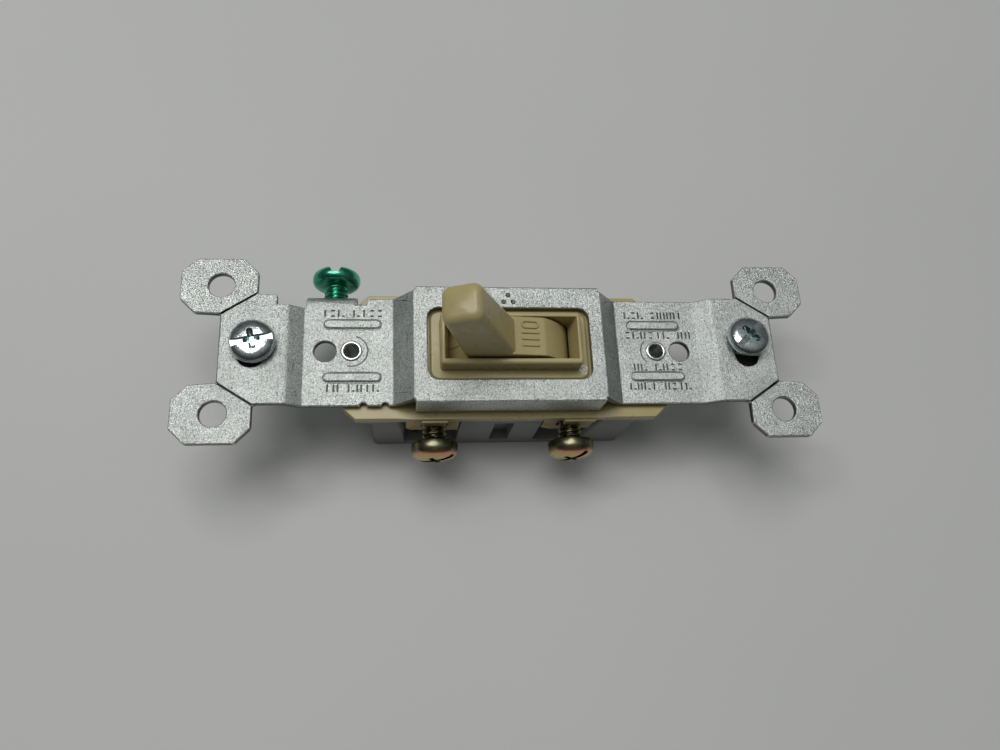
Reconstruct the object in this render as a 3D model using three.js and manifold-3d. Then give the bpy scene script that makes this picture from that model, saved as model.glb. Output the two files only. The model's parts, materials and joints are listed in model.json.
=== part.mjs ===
// Toggle wall switch: single pole, on a grounding strap, wired by side screws or push-in holes.
// Millimetres. +Z points out of the wall, +X is the ON end, and the origin is the centre of the
// housing's flat rear face. The handle is modelled in its OFF position, leaning towards -X.
import * as THREE from 'three';
import { mergeVertices } from 'three/addons/utils/BufferGeometryUtils.js';
import Module from 'manifold-3d';

const wasm = await Module();
wasm.setup();

// ---------------------------------------------------------------- driving dimensions
const FIT = 0.05; // play between fixed pieces that touch
const ROUND = 28; // segments in a full circle
const PAST = 1; // how far a cutting body runs past the piece it cuts

const STRAP = {
  thickness: 1.3,
  top: 19.0, // top face of the low sections beside the raised centre
  endRise: 1.57,
  centreRise: 4.0,
  halfWidth: 9.4,
  centreHalfWidth: 10.1,
  centreEnd: 15.75, // where the raised centre starts to slope down
  lowStart: 19.1,
  lowEnd: 33.6,
  endStart: 36.15,
  end: 46.7,
  bend: 0.5, // inside bend radius
  crease: 0.4, // outside radius of the sharp folds round the raised centre
  skirtDrop: 1.6, // skirt's lower edge below the low sections' top
  skirtInset: 0.25, // the skirts end this far short of the raised centre's ends
  nicks: [-23.9, -20.4], // half-round nicks in the terminal-side edge
  nickRadius: 0.55,
};
const OPENING = { halfLength: 13.5, halfWidth: 6.25, corner: 1.8 };
const EAR = {
  innerX: 41.05,
  outerX: 53.35,
  outerY: 15.75,
  lowY: 6.15,
  chamfer: 2.4,
  scoreInner: [41.05, 9.6],
  scoreOuter: [46.7, 5.9],
  neck: 0.6, // the strap widens to its full width over this length
  hole: [46.9, 10.96],
  holeRadius: 2.1,
};
const SCORE = { halfWidth: 0.22, depth: 0.4, proud: 0.01 };
const SLOT = { x: 41.67, halfLength: 3.3, radius: 2.12 }; // box-screw slots, 83.3 mm apart
const PLATE_HOLE = { x: 30.16, radius: 1.8 }; // wall-plate screws, 60.3 mm apart
const RIVET = {
  x: 25.88, outer: 1.5, bore: 1.15, play: 0.1, flange: 1.78, flangeHeight: 0.25, foot: 2.3, footHeight: 0.7,
  ease: 0.15, footEase: 0.5,
};
const SKIRT_ROOT = 8; // the skirts' sheet takes over from the flat blank this far from the middle
const SKIRT_GAP = 0.3; // room between the cover and the skirts' edges
const BAR = { inner: 21.0, outer: 30.45, y: 4.65, halfWidth: 0.85, height: 0.45, ease: 0.3 };
const TAB = { x0: -33.4, x1: -25.07, rootY: 6, outerY: 10.1, bottom: 8.9, cutY: 7.6 };
const TAB_RELIEF = { outer: 4.5, inner: 1.6, outerY: 7.7, innerY: 8.4 };
const CLEARANCE_HOLE = 2.3; // radius of the holes that the terminal and ground screws stand in

const PIVOT_Z = 16.4; // the handle's axis, along Y
const LEAN = THREE.MathUtils.degToRad(22.5); // the handle leans this far either side
const BARREL = { radius: 10.8, halfWidth: 3.3, clearance: 0.35 };
const HANDLE = {
  tip: 24.8, tipHalfX: 3.15, tipHalfY: 3.05, root: 9.0, rootHalfX: 4.05, rootHalfY: 3.3, foot: 4, corner: 0.9,
};
const TRUNNION = { radius: 2.0, end: 5.6, play: 0.15 };
const SHOULDER = [8.48, 6.66]; // where the barrel's curve meets the flat beside the grip
const FLAT_ROOT = [3.7, 9.29]; // where that flat meets the grip
const BARREL_FOOT = { x: 9.2, z: -0.9, sideZ: -0.5 };
const HOLLOW = { x: 8.6, sideZ: 0.6, topX: 6.6, topZ: 5.2, web: 1.2, webZ: 6.4 }; // cored out each side
const STEM = { half: 2.6, bottom: -5.6, bore: 1.6, boreTop: 1.6 };
const PLUNGER = { radius: 1.35, nose: 8.6, top: 4.7 };
const SPRING = { radius: 1.15, wire: 0.22, bottom: -4.5, top: 1.35, turns: 6 };

const NOSE = { halfY: 6.6, chamfer: 2.2 }; // the housing's narrow ends, under the rivets
const COVER = {
  bottom: 15.6,
  halfWidth: 11.3,
  endX: 28.2,
  cornerX: 25.2,
  cornerY: 9.3,
  rearEndX: 26.2, // the ends draw in from frontEndX to rearEndX
  frontEndX: 28.9,
  shoulderHalfLength: 16.1, // the sides dip under the strap's skirts
  shoulderRun: 2.4, // and rise again over this length
  blockHalfLength: 14.5,
  blockHalfWidth: 8.35,
};
const BEZEL = {
  flangeX: 13.1, flangeY: 5.95, flangeTop: 22.0, flangeCorner: 1.45, flangeEase: 0.2, slope: 0.2,
  rimX: 11.5, rimY: 4.5, top: 25.5, rimCorner: 0.5, rimEase: 0.25,
};
const CAVITY = { topX: 11.0, lipX: 10.0, lipZ: 21.0, lipDepth: 3, halfY: 3.62 };
const GUARD = { y: -11.75, thickness: 0.95, bottom: 14.6, slant: 0.7 };
// On the side away from the terminal screws the housing is trimmed and its corners are longer.
const FAR_SIDE = { y: 10.6, cornerX: 23.2, inset: 2.6 };
const TAB_ROOM = { // what the housing leaves to the ground tab and its screw
  outerX: -40, innerX: -24.6, y: 5.8, cornerX: [-26, -22], cornerY: 8.2,
};

const BASE = {
  top: 15.55,
  flangeBottom: 13.4,
  flangeEndX: 28.0,
  cornerX: 24.2,
  cornerY: 9.0,
  endX: 22.8,
  halfWidth: 11.0,
  edge: 0.8,
};
const CHAMBER = { halfX: 12.0, halfY: 4.7, floor: 2.0 };
const CORES = [ // moulding pockets that are open towards the cover
  { x: [-20.6, 20.6], y: [6.3, 9.6] },
  { x: [-20.6, -13.4], y: [-4.4, 5.0] },
  { x: [13.4, 20.6], y: [-4.4, 5.0] },
];
const STOP_RIB = { innerX: 8.9, innerY: 2.4, top: 11.2, root: 0.5 }; // root: how far it runs into the walls
const SIDE_SLOT = { x: [-1.8, 1.5], z: [2.2, 13.0], depth: 2 }; // blind slot between the pockets
const POCKET = { depth: 3.8, corner: 1.2, floor: 1.6, roomY: -9 };
const LOAD = { side: -1, x0: -17.2, x1: -7.8, screwX: -12.2, turn: 0.5, guard: [-2.2, 2.1] };
const LINE = { side: 1, x0: 6.3, x1: 15.4, screwX: 11.2, turn: 0.9, guard: [-1.6, 3.8] };
const SCREW_ROOM = { halfX: 2.5, innerY: -5.6, bottom: 9.6 };
const PLATE = { face: -10.9, thickness: 0.9, bottom: 9.4, top: 14.5, play: 0.2, cutCorner: 0.8 };
const LEG = { inner: 8.0, outer: 11.2, shelf: 9.0, play: 0.15, thickness: 0.9, footY: 1.9, footX: 5.4 };
const BLADE = { halfWidth: 0.45, edge: 0.12, shoulderDrop: 0.6, gap: 0.08 };
const WIRE = { x: 15.5, y: -7.9, radius: 1.2 };
const WIRE_ROOM = { halfX: 1.6, y: [-9.9, -5.6], bottom: 3.2 };
const RELEASE_SLOT = { halfX: 1.3, y: [-6.2, -5.0], depth: 1.0 };
const CLAMP = { halfX: 1.3, thickness: 0.35, bend: 0.25 };
const CLAMP_LINE = [[-6.0, 4.2], [-6.0, 12.6], [-7.6, 13.4], [-9.3, 8.0]]; // in Y and Z

const ROCKER_Z = 5.9; // knife edge that the contact arm rocks on
const ROCK = THREE.MathUtils.degToRad(8);
const ARM = { end: 8.7, tail: 5.4, neck: 4.6, halfWidth: 2.2, thickness: 0.9, tipHalfY: 1.2, cut: 0.6 };
const CONTACT = { x: 7.4, radius: 1.5, height: 0.9, gap: 0.02 };
const CRADLE = { halfX: 4.4, halfY: 2.3, bottom: 0.95, top: 3.4, valleyZ: 6.4, valleyRadius: 4.6 };

const TERMINAL_SCREW = {
  z: 12.2, underHead: 14.1, length: 5.7, shank: 2.05, radius: 3.95, height: 3.0,
  slotHalf: 0.5, slotDepth: 0.7, cross: 1.9, crossDepth: 1.5,
};
const GROUND_SCREW = {
  x: -28.9, z: 14.0, underHead: 13.7, length: 7.5, shank: 2.05, radius: 4.1, height: 3.0,
  slotTop: 1.3, slotFloor: 0.55, slotDepth: 1.8,
};
const BOX_SCREW = {
  length: 15.5, shank: 1.72, radius: 3.6, height: 2.0,
  slotHalf: 0.55, slotDepth: 0.6, cross: 2.0, crossDepth: 1.3,
};
const BOX_SCREWS = [
  { side: 'left', x: -41.3, y: 0.6, lift: 0.6, tilt: 0, turn: 0.2 },
  { side: 'right', x: 41.55, y: 1.4, lift: 1.1, tilt: -0.1, turn: 0.75 },
];
const RETAINER = { halfX: 4.4, halfY: 4.6, corner: 1.2, thickness: 0.9, hole: 1.95, drop: 0.1 };
const RETAINER_LEVER = 2.95; // a tilted screw crosses its retainer this far below the head

// ---------------------------------------------------------------- materials
function finish(colour, roughness, metalness) {
  return new THREE.MeshStandardMaterial({ color: colour, roughness, metalness });
}
const IVORY = [0xb3a678, 0.42, 0];
const DARK_PLASTIC = [0x4a4b4c, 0.6, 0];
const ZINC = [0xb4bcc2, 0.38, 1];
const BRASS = [0xb08d4a, 0.35, 1];
const CHROMATE = [0xa98a5c, 0.3, 1];
const GREEN = [0x0d7a58, 0.25, 1];
const SPRING_STEEL = [0x9a9c9e, 0.35, 1];
const SILVER = [0xd6d6d2, 0.3, 1];
const FIBRE = [0x1d1d1e, 0.8, 0];

// ---------------------------------------------------------------- solid tools
function solid(geometry) {
  const bare = geometry.index ? geometry.toNonIndexed() : geometry.clone();
  for (const name of Object.keys(bare.attributes)) {
    if (name !== 'position') bare.deleteAttribute(name);
  }
  const welded = mergeVertices(bare, 1e-4);
  return new wasm.Manifold(new wasm.Mesh({
    numProp: 3,
    vertProperties: new Float32Array(welded.attributes.position.array),
    triVerts: new Uint32Array(welded.index.array),
  }));
}

function mesh(name, body, look) {
  const data = body.getMesh();
  const geometry = new THREE.BufferGeometry();
  geometry.setAttribute('position', new THREE.BufferAttribute(data.vertProperties, 3));
  geometry.setIndex(new THREE.BufferAttribute(data.triVerts, 1));
  geometry.computeVertexNormals();
  const piece = new THREE.Mesh(geometry, finish(...look));
  piece.name = name;
  return piece;
}

function box([x0, x1], [y0, y1], [z0, z1]) {
  const geometry = new THREE.BoxGeometry(x1 - x0, y1 - y0, z1 - z0);
  geometry.translate((x0 + x1) / 2, (y0 + y1) / 2, (z0 + z1) / 2);
  return solid(geometry);
}

function outline(points) {
  return new THREE.Shape(points.map(([a, b]) => new THREE.Vector2(a, b)));
}

function prismGeometry(points, length, options = {}) {
  const settings = { depth: length, bevelEnabled: false, curveSegments: 8, ...options };
  return new THREE.ExtrudeGeometry(outline(points), settings);
}

// A plan outline in X and Y, from z0 to z1.
function prismZ(points, z0, z1) {
  return solid(prismGeometry(points, z1 - z0).translate(0, 0, z0));
}

// A side outline in X and Z, from y0 to y1.
function prismY(points, y0, y1) {
  return solid(prismGeometry(points, y1 - y0).rotateX(Math.PI / 2).translate(0, y1, 0));
}

// A cross-section outline in Y and Z, from x0 to x1.
function prismX(points, x0, x1) {
  const turn = new THREE.Matrix4().set(0, 0, 1, x0, 1, 0, 0, 0, 0, 1, 0, 0, 0, 0, 0, 1);
  return solid(prismGeometry(points, x1 - x0).applyMatrix4(turn));
}

// A solid of revolution about Z from [radius, z] points that close on the axis or on themselves.
function turned(points, segments = ROUND) {
  const profile = points.map(([r, z]) => new THREE.Vector2(r, z));
  return solid(new THREE.LatheGeometry(profile, segments).rotateX(Math.PI / 2));
}

function rod(radius, z0, z1, segments = ROUND) {
  return turned([[0, z0], [radius, z0], [radius, z1], [0, z1]], segments);
}

function rodAt([x, y], radius, z0, z1) {
  return rod(radius, z0, z1).translate([x, y, 0]);
}

function rodAlongY([x, z], radius, y0, y1) {
  return rod(radius, y0, y1).rotate([-90, 0, 0]).translate([x, 0, z]);
}

// The points of an arc about a centre, from one angle to another in degrees.
function arc([cx, cy], radius, from, to, steps) {
  return Array.from({ length: steps + 1 }, (_, i) => {
    const a = THREE.MathUtils.degToRad(from + ((to - from) * i) / steps);
    return [cx + radius * Math.cos(a), cy + radius * Math.sin(a)];
  });
}

function roundedRectangle(halfX, halfY, radius, steps = 4) {
  const corners = [[1, 1, 0], [-1, 1, 90], [-1, -1, 180], [1, -1, 270]];
  return corners.flatMap(([sx, sy, from]) =>
    arc([sx * (halfX - radius), sy * (halfY - radius)], radius, from, from + 90, steps));
}

// A bar with half-round ends, lying along X.
function capsule(x0, x1, halfWidth) {
  return [
    ...arc([x1 - halfWidth, 0], halfWidth, -90, 90, 8),
    ...arc([x0 + halfWidth, 0], halfWidth, 90, 270, 8),
  ];
}

function mirrored(points) {
  return points.map(([a, ...rest]) => [-a, ...rest]).reverse();
}

// A closed outline from its quarter where both coordinates are positive, listed from the first
// axis round to the second.
function fourWay(quarter) {
  const half = [...quarter, ...mirrored(quarter)];
  return [...half, ...half.map(([a, b]) => [-a, -b])];
}

// The interval between two values, whichever is larger, widened at both ends.
function span(a, b, margin = 0) {
  return [Math.min(a, b) - margin, Math.max(a, b) + margin];
}

function cutAll(body, cutters) {
  return cutters.reduce((left, cutter) => left.subtract(cutter), body);
}

function joinAll(body, pieces) {
  return pieces.reduce((sum, piece) => sum.add(piece), body);
}

// A folded sheet's outline from the line of its outer face, which is offset to its right-hand
// side. Every corner gets a bend with the given inside radius. A corner's third value, where it has
// one, is its outside radius.
function foldedSheet(face, thickness, insideRadius) {
  const line = face.map(([a, b]) => new THREE.Vector2(a, b));
  const directions = line.slice(1).map((p, i) => p.clone().sub(line[i]).normalize());
  const outer = [line[0]];
  const inner = [offset(line[0], directions[0], thickness)];
  for (let i = 1; i < line.length - 1; i += 1) {
    const [before, after] = [directions[i - 1], directions[i]];
    const turn = before.cross(after);
    const [, , outsideRadius = insideRadius + thickness] = face[i];
    const radius = (right) => (turn < 0 === right ? insideRadius : outsideRadius);
    const half = before.clone().add(after).normalize();
    const reach = thickness / Math.abs(half.dot(before));
    const innerCorner = offset(line[i], half, reach);
    outer.push(...bend(line[i], before, after, radius(false)));
    inner.push(...bend(innerCorner, before, after, radius(true)));
  }
  outer.push(line[line.length - 1]);
  inner.push(offset(line[line.length - 1], directions[directions.length - 1], thickness));
  return [...outer, ...inner.reverse()].map((p) => [p.x, p.y]);
}

function offset(point, direction, distance) {
  return new THREE.Vector2(point.x + direction.y * distance, point.y - direction.x * distance);
}

function bend(corner, before, after, radius, steps = 4) {
  const angle = Math.acos(THREE.MathUtils.clamp(before.dot(after), -1, 1));
  const cut = radius * Math.tan(angle / 2);
  const start = corner.clone().addScaledVector(before, -cut);
  const sign = Math.sign(before.cross(after));
  const reach = radius * sign;
  const centre = new THREE.Vector2(start.x - before.y * reach, start.y + before.x * reach);
  return Array.from({ length: steps + 1 }, (_, i) =>
    start.clone().rotateAround(centre, (sign * angle * i) / steps));
}

// ---------------------------------------------------------------- strap
const SHEET_ROOM = span(STRAP.top, STRAP.top + STRAP.centreRise, 5); // every level of the sheet
const SHEET_CUT = span(...SHEET_ROOM, PAST);

function strapSheet() {
  const { top, endRise, centreRise, lowStart, lowEnd, endStart, centreEnd, crease } = STRAP;
  const right = [
    [centreEnd, top + centreRise, crease],
    [lowStart, top],
    [lowEnd, top],
    [endStart, top + endRise],
    [EAR.outerX + PAST, top + endRise],
  ];
  const face = [...mirrored(right), ...right];
  return prismY(foldedSheet(face, STRAP.thickness, STRAP.bend), -EAR.outerY - PAST, EAR.outerY + PAST);
}

function earPlan(sx, sy) {
  const { innerX, outerX, outerY, lowY, chamfer, scoreInner, scoreOuter } = EAR;
  const points = [
    scoreInner,
    scoreOuter,
    [outerX - chamfer, lowY],
    [outerX, lowY + chamfer],
    [outerX, outerY - chamfer],
    [outerX - chamfer, outerY],
    [innerX + chamfer, outerY],
    [innerX, outerY - chamfer],
  ].map(([x, y]) => [sx * x, sy * y]);
  return sx * sy > 0 ? points : points.reverse();
}

function strapPlan() {
  const [cornerX, cornerY] = EAR.scoreInner;
  const quarter = [
    [STRAP.end, EAR.scoreOuter[1]],
    [cornerX, cornerY],
    [cornerX - EAR.neck, STRAP.halfWidth],
  ];
  const slot = capsule(-SLOT.halfLength, SLOT.halfLength, SLOT.radius);
  let plan = prismZ(fourWay(quarter), ...SHEET_ROOM);
  for (const sx of [-1, 1]) {
    for (const sy of [-1, 1]) {
      plan = plan.add(prismZ(earPlan(sx, sy), ...SHEET_ROOM));
      plan = plan.subtract(rodAt([sx * EAR.hole[0], sy * EAR.hole[1]], EAR.holeRadius, ...SHEET_CUT));
    }
    plan = cutAll(plan, [
      prismZ(slot.map(([along, across]) => [sx * SLOT.x - across, along]), ...SHEET_CUT),
      rodAt([sx * PLATE_HOLE.x, 0], PLATE_HOLE.radius, ...SHEET_CUT),
      rodAt([sx * RIVET.x, 0], RIVET.outer + RIVET.play, ...SHEET_CUT),
    ]);
  }
  return plan;
}

// The V-shaped lines that let an ear be broken off, on both faces of the sheet.
function scoreLines() {
  const top = STRAP.top + STRAP.endRise;
  const bottom = top - STRAP.thickness;
  const { halfWidth, depth, proud } = SCORE;
  const grooves = [
    [[halfWidth, top + proud], [0, top - depth], [-halfWidth, top + proud]],
    [[-halfWidth, bottom - proud], [0, bottom + depth], [halfWidth, bottom - proud]],
  ];
  const [ax, ay] = EAR.scoreInner;
  const [bx, by] = EAR.scoreOuter;
  const angle = THREE.MathUtils.radToDeg(Math.atan2(by - ay, bx - ax));
  const length = Math.hypot(bx - ax, by - ay);
  const [upper, lower] = grooves.map((groove) => prismX(groove, -length, length));
  const pair = upper.add(lower).rotate([0, 0, angle]).translate([(ax + bx) / 2, (ay + by) / 2, 0]);
  const half = pair.add(pair.mirror([0, 1, 0]));
  return half.add(half.mirror([1, 0, 0]));
}

function strapSkirts() {
  const { top, centreRise, centreHalfWidth, skirtDrop, skirtInset, thickness, centreEnd, crease } = STRAP;
  const low = top - skirtDrop;
  const right = [[centreHalfWidth, top + centreRise, crease], [centreHalfWidth, low]];
  const face = [...mirrored(right), ...right];
  const length = span(-centreEnd, centreEnd, -skirtInset);
  return prismX(foldedSheet(face, thickness, STRAP.bend), ...length);
}

function groundTab() {
  const { x0, x1, rootY, outerY, bottom } = TAB;
  const face = [[rootY, STRAP.top], [outerY, STRAP.top], [outerY, bottom]];
  const hole = rodAlongY([GROUND_SCREW.x, GROUND_SCREW.z], CLEARANCE_HOLE, rootY - PAST, outerY + PAST);
  return prismX(foldedSheet(face, STRAP.thickness, STRAP.bend), x0, x1).subtract(hole);
}

function stiffeningBars() {
  const { inner, outer, halfWidth, height, ease } = BAR;
  const eased = {
    bevelEnabled: true,
    bevelThickness: ease,
    bevelSize: ease,
    bevelOffset: -ease,
    bevelSegments: 2,
  };
  const right = capsule(inner, outer, halfWidth);
  return [-1, 1].flatMap((sx) => [-1, 1].map((sy) => {
    const plan = sx > 0 ? right : mirrored(right);
    const geometry = prismGeometry(plan, ease, eased);
    return solid(geometry.translate(0, sy * BAR.y, STRAP.top + height - 2 * ease));
  }));
}

function makeStrap() {
  const { top, centreEnd, centreRise, halfWidth, skirtInset } = STRAP;
  let strap = strapSheet().intersect(strapPlan()).subtract(scoreLines());
  // The flat blank gives way to the folded skirts and to the folded ground tab.
  const skirtSpan = span(-centreEnd, centreEnd, -2 * skirtInset);
  const tabSpan = [TAB.x0, TAB.x1];
  strap = cutAll(strap, [
    box(skirtSpan, [SKIRT_ROOT, EAR.outerY], SHEET_ROOM),
    box(skirtSpan, [-EAR.outerY, -SKIRT_ROOT], SHEET_ROOM),
    box(tabSpan, [TAB.cutY, EAR.outerY], SHEET_ROOM),
  ]);
  strap = joinAll(strap, [strapSkirts(), groundTab(), ...stiffeningBars()]);
  const opening = roundedRectangle(OPENING.halfLength, OPENING.halfWidth, OPENING.corner);
  // Relief cuts beside the ground tab, and two half-round nicks in the opposite edge.
  const { outer, inner, outerY, innerY } = TAB_RELIEF;
  return cutAll(strap, [
    prismZ(opening, top, top + centreRise + PAST),
    box([TAB.x0 - outer, TAB.x0], [outerY, EAR.outerY], SHEET_ROOM),
    box([TAB.x1, TAB.x1 + inner], [innerY, EAR.outerY], SHEET_ROOM),
    ...STRAP.nicks.map((x) => rodAt([x, -halfWidth], STRAP.nickRadius, ...SHEET_ROOM)),
  ]);
}

// ---------------------------------------------------------------- housing
// The housing's plan: straight sides, chamfered corners and narrow ends under the rivets.
function housingPlan({ halfWidth, endX, cornerX, cornerY }) {
  return fourWay([[endX, NOSE.halfY], [cornerX + NOSE.chamfer, cornerY], [cornerX, halfWidth]]);
}

function farSideRoom(z0, z1) {
  const { y, cornerX, inset } = FAR_SIDE;
  const innerY = y - inset;
  const right = [
    [0, y],
    [cornerX, y],
    [cornerX + inset, innerY],
    [EAR.innerX, innerY],
    [EAR.innerX, EAR.outerY],
    [0, EAR.outerY],
  ];
  return [right, mirrored(right)].map((plan) => prismZ(plan, z0 - PAST, z1 + PAST));
}

function tabRoom(z0, z1) {
  return box([TAB_ROOM.outerX, TAB_ROOM.innerX], [TAB_ROOM.y, EAR.outerY], [z0 - PAST, z1 + PAST]);
}

function barrelRoom() {
  const radius = BARREL.radius + BARREL.clearance;
  return rodAlongY([0, PIVOT_Z], radius, -CAVITY.halfY, CAVITY.halfY);
}

// Room for the trunnions, and for sliding them in from one side of the pivot.
function trunnionRoom(z0, z1) {
  const { radius, end, play } = TRUNNION;
  return rodAlongY([0, PIVOT_Z], radius + play, -end - play, end + play)
    .add(box(span(-radius, radius, play), span(-end, end, play), [z0, z1]));
}

function rivetHoles(z0, z1) {
  return [-1, 1].map((sx) => rodAt([sx * RIVET.x, 0], RIVET.outer + RIVET.play, z0 - PAST, z1 + PAST));
}

function makeCover() {
  const { bottom, frontEndX, rearEndX, blockHalfLength, blockHalfWidth } = COVER;
  const { shoulderHalfLength, shoulderRun } = COVER;
  const sheetUnder = STRAP.top - STRAP.thickness - FIT;
  const skirtUnder = STRAP.top - STRAP.skirtDrop - SKIRT_GAP;
  const centreUnder = sheetUnder + STRAP.centreRise;
  let cover = prismZ(housingPlan(COVER), bottom, sheetUnder);
  // The ends draw in towards the rear.
  const taper = [
    [rearEndX, bottom - PAST],
    [EAR.innerX, bottom - PAST],
    [EAR.innerX, sheetUnder + PAST],
    [frontEndX, sheetUnder + PAST],
  ];
  for (const wedge of [taper, mirrored(taper)]) {
    cover = cutAll(cover, [
      prismY(wedge, -EAR.outerY, -NOSE.halfY - 2 * FIT),
      prismY(wedge, NOSE.halfY + 2 * FIT, EAR.outerY),
    ]);
  }
  const rightDip = [
    [shoulderHalfLength, skirtUnder],
    [shoulderHalfLength + shoulderRun, sheetUnder],
    [shoulderHalfLength + shoulderRun, centreUnder],
  ];
  const dip = [...rightDip, ...mirrored(rightDip)];
  cover = cutAll(cover, [
    tabRoom(bottom, sheetUnder),
    ...farSideRoom(bottom, sheetUnder),
    prismY(dip, blockHalfWidth, EAR.outerY),
    prismY(dip, -EAR.outerY, -blockHalfWidth),
  ]);
  const blockX = [-blockHalfLength, blockHalfLength];
  const blockY = [-blockHalfWidth, blockHalfWidth];
  cover = joinAll(cover, [
    box(blockX, blockY, [bottom, centreUnder]),
    bezel(centreUnder),
    screwGuard(LOAD),
    screwGuard(LINE),
  ]);
  return cutAll(cover, [
    handleRoom(),
    barrelRoom(),
    trunnionRoom(bottom - PAST, PIVOT_Z),
    ...rivetHoles(bottom, sheetUnder),
  ]);
}

// A flap of the cover that hangs over a terminal screw's head.
function screwGuard({ screwX, guard: [left, right] }) {
  const rootZ = COVER.bottom + 1;
  const plan = [
    [screwX + left, rootZ],
    [screwX + left, GUARD.bottom],
    [screwX + right - GUARD.slant, GUARD.bottom],
    [screwX + right, rootZ],
  ];
  return prismY(plan, GUARD.y, GUARD.y + GUARD.thickness);
}

// The frame that stands through the wall plate: a sloped flange and a square-edged rim.
function bezel(from) {
  const { flangeX, flangeY, flangeTop, flangeCorner, flangeEase, slope } = BEZEL;
  const { rimX, rimY, rimCorner, rimEase, top } = BEZEL;
  const easedFlange = [flangeX - slope, flangeY - slope];
  const easedRim = [rimX - rimEase, rimY - rimEase];
  const flange = roundedRectangle(flangeX, flangeY, flangeCorner);
  const rim = roundedRectangle(rimX, rimY, rimCorner);
  return joinAll(prismZ(flange, from - 2 * FIT, flangeTop - flangeEase), [
    taperedBlock([flangeX, flangeY], flangeTop - flangeEase, easedFlange, flangeTop, flangeCorner),
    prismZ(rim, from, top - rimEase),
    taperedBlock([rimX, rimY], top - rimEase, easedRim, top, rimCorner),
  ]);
}

// A rounded block whose plan changes evenly from its lower size to its upper size.
function taperedBlock([x0, y0], z0, [x1, y1], z1, corner) {
  const geometry = prismGeometry(roundedRectangle(x0, y0, corner), z1 - z0);
  const position = geometry.attributes.position;
  for (let i = 0; i < position.count; i += 1) {
    if (position.getZ(i) > (z1 - z0) / 2) {
      position.setX(i, (position.getX(i) * x1) / x0);
      position.setY(i, (position.getY(i) * y1) / y0);
    }
  }
  return solid(geometry.translate(0, 0, z0));
}

function handleRoom() {
  const { topX, lipX, lipZ, halfY, lipDepth } = CAVITY;
  const right = [[lipX, lipZ - lipDepth], [lipX, lipZ], [topX, BEZEL.top + PAST]];
  return prismY([...right, ...mirrored(right)], -halfY, halfY);
}

function makeBase() {
  const { top, flangeBottom, flangeEndX, endX, halfWidth, edge } = BASE;
  const { halfX, halfY, floor } = CHAMBER;
  const { innerX, innerY, root } = STOP_RIB;
  const open = [floor, top + PAST];
  let base = prismZ(housingPlan({ ...BASE, endX: flangeEndX }), flangeBottom, top);
  base = base.add(prismZ(roundedRectangle(endX, halfWidth, edge, 2), 0, flangeBottom + PAST));
  base = cutAll(base, [
    tabRoom(flangeBottom, top),
    ...farSideRoom(0, top),
    box(TAB_ROOM.cornerX, [TAB_ROOM.cornerY, EAR.outerY], [-PAST, top + PAST]),
    box([-halfX, halfX], [-halfY, halfY], open),
    ...CORES.map((core) => box(core.x, core.y, open)),
    trunnionRoom(PIVOT_Z, top + PIVOT_Z),
  ]);
  // Ribs that stop the handle's barrel at each end of its travel.
  for (const sx of [-1, 1]) {
    const x = span(sx * innerX, sx * (halfX + root));
    base = base.add(box(x, [innerY, halfY + root], [floor - root, STOP_RIB.top]));
  }
  const slotY = [-halfWidth - PAST, -halfWidth + SIDE_SLOT.depth];
  return cutAll(base, [
    terminalPocket(LOAD),
    terminalPocket(LINE),
    box(SIDE_SLOT.x, slotY, SIDE_SLOT.z),
    ...rivetHoles(flangeBottom, top),
  ]);
}

// A side pocket for a terminal: its screw's tail, its leg through the chamber wall, the push-in
// wire hole from the rear and the slot that frees the wire.
function terminalPocket({ x0, x1, screwX, side }) {
  const { top, halfWidth } = BASE;
  const { depth, corner, floor, roomY } = POCKET;
  const innerY = -halfWidth + depth - corner;
  const plan = [
    [x0, -halfWidth - PAST],
    [x1, -halfWidth - PAST],
    ...arc([x1 - corner, innerY], corner, 0, 90, 3),
    ...arc([x0 + corner, innerY], corner, 90, 180, 3),
  ];
  const open = top + PAST;
  const wireX = side * WIRE.x;
  const legX = span(side * LEG.inner, side * LEG.outer, PLATE.play);
  const screwRoomX = span(screwX, screwX, SCREW_ROOM.halfX);
  return joinAll(prismZ(plan, floor, open), [
    box(screwRoomX, [roomY, SCREW_ROOM.innerY], [SCREW_ROOM.bottom, open]),
    box(legX, [roomY, -CHAMBER.halfY + PAST], [LEG.shelf - LEG.play, open]),
    box(span(wireX, wireX, WIRE_ROOM.halfX), WIRE_ROOM.y, [WIRE_ROOM.bottom, open]),
    rodAt([wireX, WIRE.y], WIRE.radius, -PAST, WIRE_ROOM.bottom + PAST),
    box(span(wireX, wireX, RELEASE_SLOT.halfX), RELEASE_SLOT.y, [-PAST, RELEASE_SLOT.depth]),
  ]);
}

function makeRivet() {
  const { outer, bore, flange, flangeHeight, foot, footHeight, ease, footEase } = RIVET;
  const head = STRAP.top + FIT;
  const under = BASE.flangeBottom - FIT;
  const rim = head + flangeHeight;
  return turned([
    [bore, under - footHeight],
    [foot - footEase, under - footHeight],
    [foot, under - footHeight / 2],
    [foot, under],
    [outer, under],
    [outer, head],
    [flange, head],
    [flange, rim - ease],
    [flange - ease, rim],
    [bore + ease, rim],
    [bore, rim - ease],
    [bore, under - footHeight],
  ]);
}

// ---------------------------------------------------------------- terminals
const LEG_FLOOR = CHAMBER.floor + 2 * FIT;

function terminalPlate({ x0, x1, screwX }) {
  const { face, thickness, bottom, top, play, cutCorner } = PLATE;
  const plan = [
    [x0 + play + cutCorner, bottom],
    [x1 - play, bottom],
    [x1 - play, top],
    [x0 + play, top],
    [x0 + play, bottom + cutCorner],
  ];
  const hole = rodAlongY([screwX, TERMINAL_SCREW.z], CLEARANCE_HOLE, face - PAST, face + thickness + PAST);
  return prismY(plan, face, face + thickness).subtract(hole);
}

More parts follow.
